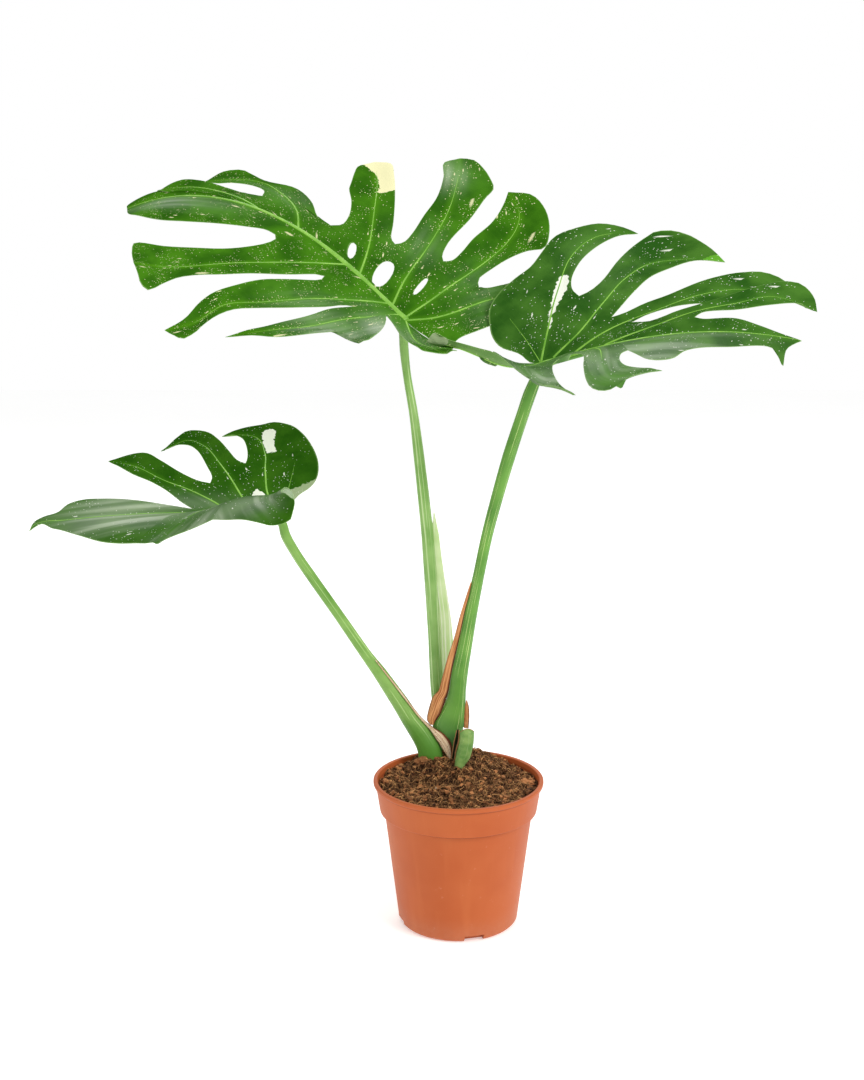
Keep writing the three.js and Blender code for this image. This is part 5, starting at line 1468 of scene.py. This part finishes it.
def make_wing():
    places, faces, uv = shell(TOP_WING, 80, 16, WING_THICKNESS)
    roll, roll_faces, roll_uv = tube(wing_edge(), 10, 80)
    faces += shifted(roll_faces, len(places))
    wing = make_object("petiole_wing", np.vstack([places, roll]), faces, 60, wing_skin, uvs={"along": uv + roll_uv})
    settle(wing, "stalk_green")


make_wing()

# %% [markdown]
# ## Dry sheaths and the cut stalk
# Old sheaths dry to paper: orange brown with dark red-brown edges, tan with dark spots, or almost black with a tan
# edge. They are thin shells with ruffled edges. Their fibres run lengthwise, so the same stretched noise as on the
# stalks drives both the colour and the bump, only much stronger. The green stub in front is an old stalk that was
# cut off; its cut face has dried to a brown rim.


# %% Dry materials
SHEATH_THICKNESS = 0.7
SHEATH_ROWS = 70
# How far the left and the right edge of a sheath have changed their colour.
RIM_LEFT, RIM_RIGHT = 1.15, 0.8


def dry_material(name, light, dark, edge, fibre_height, spots=0.0):
    material, tree = new_material(name)
    uv = uv_map(tree, "along")
    tone, _ = living_grain(tree, object_place(tree), 70.0, 1200.0)
    fibre = fibres(tree, uv, 25, 900, 4.0)
    frayed_rim = maths(tree, "ADD", attribute(tree, "rim"), multiply(tree, fibre, 0.5))
    base = layered(tree, dark, (smooth_step(tree, fibre, 0.38, 0.62), light), (multiply(tree, tone, 0.35), light),
                   (smooth_step(tree, frayed_rim, 0.85, 1.15), edge))
    if spots:
        dots = speck_layer(tree, uv, 420, 420, 0.2, spots, 1.0)
        base = mix_colours(tree, multiply(tree, dots, 0.7), base, edge)
    finish_surface(tree, base, 0.8, 0.25, fibre, 0.8, fibre_height)
    return material


orange_sheath = dry_material("sheath_orange_brown", colour(222, 160, 104), colour(160, 92, 48), colour(78, 34, 16),
                             0.0008)
tan_sheath = dry_material("sheath_papery_tan", colour(246, 224, 190), colour(190, 144, 100), colour(110, 58, 32),
                          0.0008, 0.6)
dark_sheath = dry_material("sheath_dark", colour(52, 62, 32), colour(22, 32, 14), colour(186, 134, 90), 0.0006)


def make_sheath(name, node, stations, material, ruffle, columns):
    places, faces, uv = shell(stations, SHEATH_ROWS, columns, SHEATH_THICKNESS, ruffle, len(name))
    across = np.linspace(-1, 1, columns + 1)
    rim = np.tile(np.where(across < 0, -RIM_LEFT * across, RIM_RIGHT * across), len(places) // (columns + 1))
    sheath = make_object(name, places, faces, 60, material, uvs={"along": uv}, values={"rim": rim})
    settle(sheath, "dry_sheath", node)


make_sheath("sheath_brown_dry", "sheath_brown", BROWN_SHEATH, orange_sheath, 0.45, 14)
make_sheath("sheath_papery_dry", "sheath_papery", PAPERY_SHEATH, tan_sheath, 0.4, 14)
make_sheath("sheath_cut_dry", "sheath_cut", CUT_SHEATH, dark_sheath, 0.3, 10)
make_sheath("scale_brown_dry", "scale_brown", BROWN_SCALE, orange_sheath, 0.3, 8)


# %% Cut stalk
CUT_TOP = 191
CUT_SLOPE_X = math.tan(math.radians(6))
CUT_SLOPE_Y = math.tan(math.radians(-24))
CUT_ROUNDING = 0.055
CUT_RIM_DEPTH = 2.6
CUT_SOFT_DEPTH = 1.5
CUT_SQUEEZE = 0.4


def cut_stalk_material():
    material, tree = new_material("stalk_cut_skin")
    uv = uv_map(tree, "along")
    tone, _ = living_grain(tree, object_place(tree), 110.0, 1200.0)
    fibre = fibres(tree, uv, 30, 500)
    marks = multiply(tree, speck_layer(tree, uv, 420, 210, 0.15, 0.35, 1.0), 0.5)
    dried_rim = smooth_step(tree, attribute(tree, "rim"), 0.55, 0.9)
    base = layered(
        tree, colour(98, 150, 70), (tone, colour(150, 186, 102)),
        (smooth_step(tree, fibre, 0.6, 0.75), colour(152, 188, 116)),
        (marks, colour(206, 218, 176)), (dried_rim, colour(168, 116, 76)))
    finish_surface(tree, base, 0.5, 0.3, fibre, 0.4, 0.0005)
    return material


def make_cut_stalk():
    """A short tube whose top rings are pressed down onto the plane of the cut."""
    places, faces, uv = tube(CUT_STALK, 40, 60)
    centre = np.array(CUT_STALK[3][:3], float)
    across = places[:, 0] - centre[0]
    plane = CUT_TOP + CUT_SLOPE_X * across + CUT_SLOPE_Y * (places[:, 1] - centre[1]) - CUT_ROUNDING * across ** 2
    cut = places[:, 2] > plane
    places[:, 2] = np.minimum(places[:, 2], plane)
    squeeze = np.clip((places[:, 2] - plane) / CUT_SOFT_DEPTH + 1, 0, 1)
    places[:, 0] -= np.where(cut, 0, squeeze ** 3 * CUT_SQUEEZE * np.sign(places[:, 0] - centre[0]))
    rim = np.clip(1 - (plane - places[:, 2]) / CUT_RIM_DEPTH, 0, 1)
    stub = make_object("stalk_stub", places, faces, 50, cut_stalk_material(), uvs={"along": uv}, values={"rim": rim})
    settle(stub, "stalk_green", "stalk_cut")


make_cut_stalk()

# %% [markdown]
# ## The pot
# A nursery pot is injection moulded polypropylene: a tapered wall, a step, a taller band that lets pots nest, and a
# rolled lip, with drain notches at the foot. A turned profile gives the whole body; its corners are rounded with
# small curves before turning, because a moulded edge is never sharp. Four boxes cut the notches.

# %% Pot shape
POT_HEIGHT = 149
POT_BASE_RADIUS = 60
POT_STEP_RADIUS = 74
POT_BAND_LOW_RADIUS = 78.5
POT_BAND_HIGH_RADIUS = 82.5
POT_LIP_RADIUS = 85
POT_BAND_BOTTOM = POT_HEIGHT - 32
POT_LIP_BOTTOM = POT_HEIGHT - 4.5
POT_RIM_WIDTH = 4.2
POT_WALL = 1.8
POT_FLOOR = 2.5
POT_SEGMENTS = 200
DRAIN_WIDTH = 20
DRAIN_HEIGHT = 6.5
DRAIN_DEPTH = 9
DRAIN_ANGLES = (-75, 15, 105, 195)
POT_LEDGE_HEIGHT = DRAIN_HEIGHT + POT_WALL
POT_LEDGE_RADIUS = POT_BASE_RADIUS - DRAIN_DEPTH - POT_WALL
POT_LEDGE_SLOPE = 8


def rounded(profile, reach=1.2, steps=4):
    """A profile of straight lines with each corner replaced by a short curve."""
    points = [np.array(p, float) for p in profile]
    result = [points[0]]
    for before, corner, after in zip(points, points[1:], points[2:]):
        start, end = [corner + (other - corner) * min(reach / np.linalg.norm(other - corner), 0.45)
                      for other in (before, after)]
        for k in range(steps + 1):
            t = k / steps
            result.append(start * (1 - t) ** 2 + corner * 2 * t * (1 - t) + end * t * t)
    return result + [points[-1]]


def lathe(profile, segments):
    """Turns a profile of (radius, height) round Z; the first and last points lie on the axis."""
    angles = np.linspace(0, 2 * math.pi, segments, endpoint=False)
    rings = profile[1:-1]
    places = [[0, 0, profile[0][1]]]
    for radius, height in rings:
        places += [[radius * math.cos(a), radius * math.sin(a), height] for a in angles]
    places.append([0, 0, profile[-1][1]])
    faces = []
    for i in range(segments):
        j = (i + 1) % segments
        faces.append((0, 1 + j, 1 + i))
        for ring in range(len(rings) - 1):
            a, b = 1 + ring * segments + i, 1 + ring * segments + j
            faces.append((a, b, b + segments, a + segments))
        last = 1 + (len(rings) - 1) * segments
        faces.append((last + i, last + j, len(places) - 1))
    return places, faces


def pot_profile():
    inner = POT_LIP_RADIUS - POT_RIM_WIDTH
    return rounded([
        (0, 0), (POT_BASE_RADIUS - 3, 0), (POT_BASE_RADIUS, 3),
        (POT_STEP_RADIUS, POT_BAND_BOTTOM - 1), (POT_BAND_LOW_RADIUS, POT_BAND_BOTTOM + 0.4),
        (POT_BAND_HIGH_RADIUS, POT_LIP_BOTTOM - 0.8), (POT_LIP_RADIUS, POT_LIP_BOTTOM + 0.4),
        (POT_LIP_RADIUS, POT_HEIGHT), (inner, POT_HEIGHT),
        (POT_BAND_LOW_RADIUS - POT_WALL, POT_BAND_BOTTOM + 4), (POT_STEP_RADIUS - POT_WALL, POT_BAND_BOTTOM - 3),
        (POT_BASE_RADIUS - POT_WALL, POT_LEDGE_HEIGHT), (POT_LEDGE_RADIUS, POT_LEDGE_HEIGHT),
        (POT_LEDGE_RADIUS - POT_LEDGE_SLOPE, POT_FLOOR), (0, POT_FLOOR),
    ])


def cut_notches(piece):
    """Boxes take the drain notches out of the foot."""
    cutter_mesh = bpy.data.meshes.new("notch_cutter")
    boxes = bmesh.new()
    for angle in DRAIN_ANGLES:
        box = bmesh.ops.create_cube(boxes, size=1)["verts"]
        bmesh.ops.scale(boxes, vec=Vector((2 * DRAIN_DEPTH, DRAIN_WIDTH, 2 * DRAIN_HEIGHT)) * MM, verts=box)
        bmesh.ops.translate(boxes, vec=Vector((POT_BASE_RADIUS * MM, 0, 0)), verts=box)
        turn = Vector((math.cos(math.radians(angle)), math.sin(math.radians(angle)), 0))
        for vert in box:
            x, y, z = vert.co
            vert.co = (x * turn.x - y * turn.y, x * turn.y + y * turn.x, z)
    boxes.to_mesh(cutter_mesh)
    boxes.free()
    cutter = bpy.data.objects.new("notch_cutter", cutter_mesh)
    bpy.context.collection.objects.link(cutter)
    cut = piece.modifiers.new("notches", "BOOLEAN")
    cut.object = cutter
    cut.solver = "EXACT"
    bpy.context.view_layer.update()
    baked = bpy.data.meshes.new_from_object(piece.evaluated_get(bpy.context.evaluated_depsgraph_get()))
    piece.modifiers.clear()
    piece.data = baked
    bpy.data.objects.remove(cutter)
    bpy.data.meshes.remove(cutter_mesh)
    baked.set_sharp_from_angle(angle=math.radians(40))


# %% [markdown]
# ## Pot plastic
# The plastic is a warm terracotta orange, matt with a soft sheen. Moulding leaves faint flow marks that run up the
# wall, and handling leaves scuffs and a little dust, which gathers low down. A thin dark line of painted shade runs
# in the corners under the lip and under the band.


# %% Pot material and piece
def pot_material():
    material, tree = new_material("pot_terracotta_plastic")
    place = object_place(tree)
    tone, fine = living_grain(tree, place, 14.0, 1600.0)
    upright = add_node(tree, "Mapping", Vector=place, Scale=(60, 60, 5)).outputs[0]
    flow = noise_texture(tree, upright, 1.0, 3.0, "3D").outputs["Fac"]
    flow_marks = multiply(tree, smooth_step(tree, flow, 0.5, 0.75), 0.35)
    scuffs = add_node(tree, "TexNoise", Vector=place, Scale=130.0, Detail=6.0, Roughness=0.7).outputs["Fac"]
    scratched = multiply(tree, smooth_step(tree, scuffs, 0.62, 0.72), 0.25)
    height = part_of(tree, place, "Z")
    dust = multiply(tree, multiply(tree, smooth_step(tree, height, 0.03, 0.0), scuffs), 0.35)
    base = layered(
        tree, colour(181, 88, 43), (tone, colour(189, 97, 51)), (flow_marks, colour(198, 108, 60)),
        (scratched, colour(214, 150, 118)), (dust, colour(196, 150, 124)))
    # Painted shade: a thin dark line in the corners under the lip and under the band.
    for level, strength in ((POT_LIP_BOTTOM - 1.0, 0.4), (POT_BAND_BOTTOM - 0.8, 0.9)):
        near = maths(tree, "ABSOLUTE", maths(tree, "SUBTRACT", height, level * MM))
        line = multiply(tree, smooth_step(tree, near, 0.0014, 0.0004), strength)
        base = mix_colours(tree, line, base, colour(120, 50, 24))
    rough = add_node(tree, "MapRange", Value=flow, To_Min=0.42, To_Max=0.56).outputs["Result"]
    relief = maths(tree, "ADD", multiply(tree, flow, 1.2), fine)
    finish_surface(tree, base, rough, 0.2, relief, 0.15, 0.0003)
    return material


def make_pot():
    places, faces = lathe(pot_profile(), POT_SEGMENTS)
    pot = make_object("pot_moulded", places, faces, 40, pot_material())
    cut_notches(pot)
    settle(pot, "pot_plastic", "pot")


make_pot()

# %% [markdown]
# ## Compost
# The compost is coir and peat: brown crumbs, a felt of fine pale fibres, a few bark chips and white grains of
# perlite, heaped round the stalks. Its body is a height field turned inside the pot and roughened by noise. On it
# lie thousands of small loose bits, joined into one mesh for each kind and placed by one seeded generator, so that
# every run gives the same bed.

# %% Compost bed
SOIL_EDGE = 142.5
SOIL_CROWN = 155
SOIL_HEAP_RADIUS = 38
SOIL_HEAP_SLOPE = 8
CROWN = (-2, 53)
SOIL_RADIUS = 79.7
SOIL_GAP = 0.3
MOUND = (-30, 31)
MOUND_HEIGHT = 6
MOUND_RADIUS = 11
WALL_REACH = 6
WALL_SINK = 1.2
CRUMB_HEIGHT = 4.0
CRUMB_SPACING = 7
SOIL_RINGS = 90
SOIL_SEGMENTS = 250
rng = np.random.default_rng(12)


def crumb_noise(x, y):
    """The rough lie of the crumbs: about -1 in the gaps between them and 1 on their tops."""
    return noise.fractal(Vector((x / CRUMB_SPACING, y / CRUMB_SPACING, 3.0)), 0.6, 2.0, 5)


def soil_height(x, y):
    """A heap round the crown, one small mound, slow lumps beyond the heap and crumbs everywhere."""
    away = math.hypot(x - CROWN[0], y - CROWN[1])
    heap = 1 / (1 + math.exp((away - SOIL_HEAP_RADIUS) / SOIL_HEAP_SLOPE))
    lumps = 0.8 * math.sin(x / 9 + 1) * math.sin(y / 11) + 0.5 * math.sin((x + 2 * y) / 14)
    beyond = min(max((away - 30) / 20, 0), 1)
    mound = MOUND_HEIGHT * math.exp(-((x - MOUND[0]) ** 2 + (y - MOUND[1]) ** 2) / MOUND_RADIUS ** 2)
    crumbs = CRUMB_HEIGHT * crumb_noise(x, y)
    off_wall = min(max((SOIL_RADIUS - math.hypot(x, y)) / WALL_REACH, 0), 1)
    level = SOIL_EDGE + (SOIL_CROWN - SOIL_EDGE) * heap
    return level + mound + lumps * beyond + crumbs - WALL_SINK * (1 - off_wall)


def soil_body():
    below = [(POT_LEDGE_RADIUS - POT_LEDGE_SLOPE - SOIL_GAP, POT_FLOOR + SOIL_GAP),
             (POT_LEDGE_RADIUS - SOIL_GAP, POT_LEDGE_HEIGHT + SOIL_GAP),
             (POT_BASE_RADIUS - POT_WALL - 2 * SOIL_GAP, POT_LEDGE_HEIGHT + SOIL_GAP),
             (POT_STEP_RADIUS - POT_WALL - 2 * SOIL_GAP, POT_BAND_BOTTOM - 3),
             (POT_BAND_LOW_RADIUS - POT_WALL - 2 * SOIL_GAP, POT_BAND_BOTTOM + 4)]
    top = [(SOIL_RADIUS * (1 - ring / SOIL_RINGS), 0) for ring in range(SOIL_RINGS)]
    places, faces = lathe([(0, POT_FLOOR + SOIL_GAP), *below, *top, (0, 0)], SOIL_SEGMENTS)
    first = 1 + len(below) * SOIL_SEGMENTS
    for place in places[first:]:
        place[2] = soil_height(place[0], place[1])
    return places, faces


def compost_material():
    material, tree = new_material("compost_coir")
    place = object_place(tree)
    tone, fine = living_grain(tree, place, 160.0, 900.0)
    crumb = add_node(tree, "TexVoronoi", Vector=place, Scale=420.0).outputs["Distance"]
    base = layered(tree, colour(24, 11, 5), (tone, colour(112, 70, 44)),
                   (smooth_step(tree, crumb, 0.3, 0.7), colour(48, 26, 14)))
    finish_surface(tree, base, 0.95, 0.15, maths(tree, "ADD", crumb, fine), 1.0, 0.0012)
    return material


bed_places, bed_faces = soil_body()
bed = make_object("compost_bed", bed_places, bed_faces, 180, compost_material())
settle(bed, "compost", "soil")


# %% Loose bits on the compost
FIBRE_COUNT = 2900
CRUMB_COUNT = 1100
CHUNK_COUNT = 280
PERLITE_COUNT = 12
# Place, radius and tone of each larger piece of bark.
LUMPS = ((69, 4, 6.5, 0.85), (-36, 33, 6, 0.45), (30, 44, 4.5, 0.3))
FIBRE_STEPS = 5
FIBRE_REACH = 79


def bits_material(name, dark, light, rough):
    """Each bit carries its own tone from 0 to 1, with painted shade in the gaps between the crumbs."""
    material, tree = new_material(name)
    tone, fine = living_grain(tree, object_place(tree), 400.0, 2500.0)
    mixed = maths(tree, "ADD", multiply(tree, attribute(tree, "tone"), 0.75), multiply(tree, tone, 0.25))
    finish_surface(tree, mix_colours(tree, mixed, dark, light), rough, 0.2, fine, 0.5, 0.0003)
    return material


def random_place(reach):
    """A place on the bed within the reach; all are equally likely."""
    while True:
        x, y = rng.uniform(-reach, reach, 2)
        if math.hypot(x, y) < reach:
            return x, y


def painted_gap_shade(x, y):
    """Painted light and shade on the bits: paler on top of the crumbs, darker in the gaps between them."""
    return min(max(0.5 + 1.7 * crumb_noise(x, y), 0.05), 1.3)


def fibre_bits():
    """Thin arched hairs with three corners round, each thinner towards its end."""
    places, faces, tones = [], [], []
    for _ in range(FIBRE_COUNT):
        x, y = random_place(76)
        heading = rng.uniform(0, 2 * math.pi)
        turn = rng.normal(0, 0.5)
        length, radius, tone = rng.gamma(3, 3.0) + 3, rng.uniform(0.18, 0.5), rng.beta(0.5, 0.85)
        hump = rng.uniform(0.2, 2.4)
        first = len(places)
        for k in range(FIBRE_STEPS + 1):
            angle = heading + turn * k
            x += math.cos(angle) * length / FIBRE_STEPS
            y += math.sin(angle) * length / FIBRE_STEPS
            reach = math.hypot(x, y)
            if reach > FIBRE_REACH:
                x, y = x * FIBRE_REACH / reach, y * FIBRE_REACH / reach
            z = soil_height(x, y) + 0.15 + hump * math.sin(math.pi * k / FIBRE_STEPS)
            out_x, out_y = -math.sin(angle) * radius, math.cos(angle) * radius
            thin = 1 - 0.6 * k / FIBRE_STEPS
            places += [[x + out_x * thin, y + out_y * thin, z], [x - out_x * thin, y - out_y * thin, z],
                       [x, y, z + 1.6 * radius * thin]]
            tones += [tone * painted_gap_shade(x, y)] * 3
        for k in range(FIBRE_STEPS):
            for i in range(3):
                a, b = first + 3 * k + i, first + 3 * k + (i + 1) % 3
                faces.append((b, a, a + 3, b + 3))
        last = first + 3 * FIBRE_STEPS
        faces += [(first, first + 1, first + 2), (last + 2, last + 1, last)]
    return places, faces, tones


def chip_bits(count, size_low, size_high, flatness, reach):
    """Rough little eight-cornered lumps."""
    places, faces, tones = [], [], []
    box = np.array([[x, y, z] for z in (-1, 1) for y in (-1, 1) for x in (-1, 1)], float)
    sides = [(0, 2, 3, 1), (4, 5, 7, 6), (0, 1, 5, 4), (2, 6, 7, 3), (0, 4, 6, 2), (1, 3, 7, 5)]
    for _ in range(count):
        x, y = random_place(reach)
        size = rng.uniform(size_low, size_high) / 2
        angle = rng.uniform(0, 2 * math.pi)
        tilt = rng.normal(0, 0.5)
        shape = box * [size * rng.uniform(0.8, 1.9), size, size * flatness] * rng.uniform(0.6, 1.1, (8, 3))
        lean = np.array([[math.cos(tilt), 0, math.sin(tilt)], [0, 1, 0], [-math.sin(tilt), 0, math.cos(tilt)]])
        turn = np.array([[math.cos(angle), math.sin(angle), 0], [-math.sin(angle), math.cos(angle), 0], [0, 0, 1]])
        faces += shifted(sides, len(places))
        places += (shape @ lean @ turn + [x, y, soil_height(x, y) + size * flatness * 0.6]).tolist()
        tones += [float(rng.beta(0.6, 0.9)) * painted_gap_shade(x, y)] * 8
    return places, faces, tones


def make_bits(name, bits, material, smooth_angle):
    places, faces, tones = bits
    settle(make_object(name, places, faces, smooth_angle, material, values={"tone": tones}), "compost")


def joined(*groups):
    """Several sets of bits as one: places, faces and tones."""
    places, faces, tones = [], [], []
    for more_places, more_faces, more_tones in groups:
        faces += shifted(more_faces, len(places))
        places += list(more_places)
        tones += list(more_tones)
    return places, faces, tones


def rough_lumps():
    """A few larger pieces of bark: balls pushed in and out by noise."""
    ball = bmesh.new()
    bmesh.ops.create_icosphere(ball, subdivisions=3, radius=1)
    shape = [vert.co.copy() for vert in ball.verts]
    sides = [tuple(vert.index for vert in face.verts) for face in ball.faces]
    ball.free()
    groups = []
    for x, y, radius, tone in LUMPS:
        centre = Vector((x, y, soil_height(x, y) + radius * 0.1))
        places = []
        for out in shape:
            bulge = 1 + 0.45 * noise.fractal(out * 1.4 + centre, 0.6, 2.0, 4)
            places.append(centre + Vector((out.x * 1.2, out.y, out.z * 0.6)) * radius * bulge)
        groups.append(([tuple(p) for p in places], sides, [tone] * len(places)))
    return joined(*groups)


coir = bits_material("coir_fibre", colour(50, 19, 8), colour(246, 182, 120), 0.8)
bark = bits_material("bark_crumb", colour(22, 8, 3), colour(206, 138, 88), 0.9)
perlite = bits_material("perlite", colour(214, 210, 202), colour(250, 250, 248), 0.9)
make_bits("coir_fibres", fibre_bits(), coir, 180)
crumbs = chip_bits(CRUMB_COUNT, 0.8, 3.4, 0.5, 78)
chunks = chip_bits(CHUNK_COUNT, 2.6, 5.4, 0.5, 74)
make_bits("bark_crumbs", joined(crumbs, chunks, rough_lumps()), bark, 30)
make_bits("perlite_grains", chip_bits(PERLITE_COUNT, 0.7, 1.5, 0.9, 70), perlite, 60)

# %% [markdown]
# ## Face count
# The last line counts the faces of all the pieces that are shown.

# %% Count the faces
meshes = [thing.data for thing in bpy.data.objects if thing.type == "MESH" and not thing.hide_render]
print("Faces in all:", sum(len(mesh.polygons) for mesh in meshes))
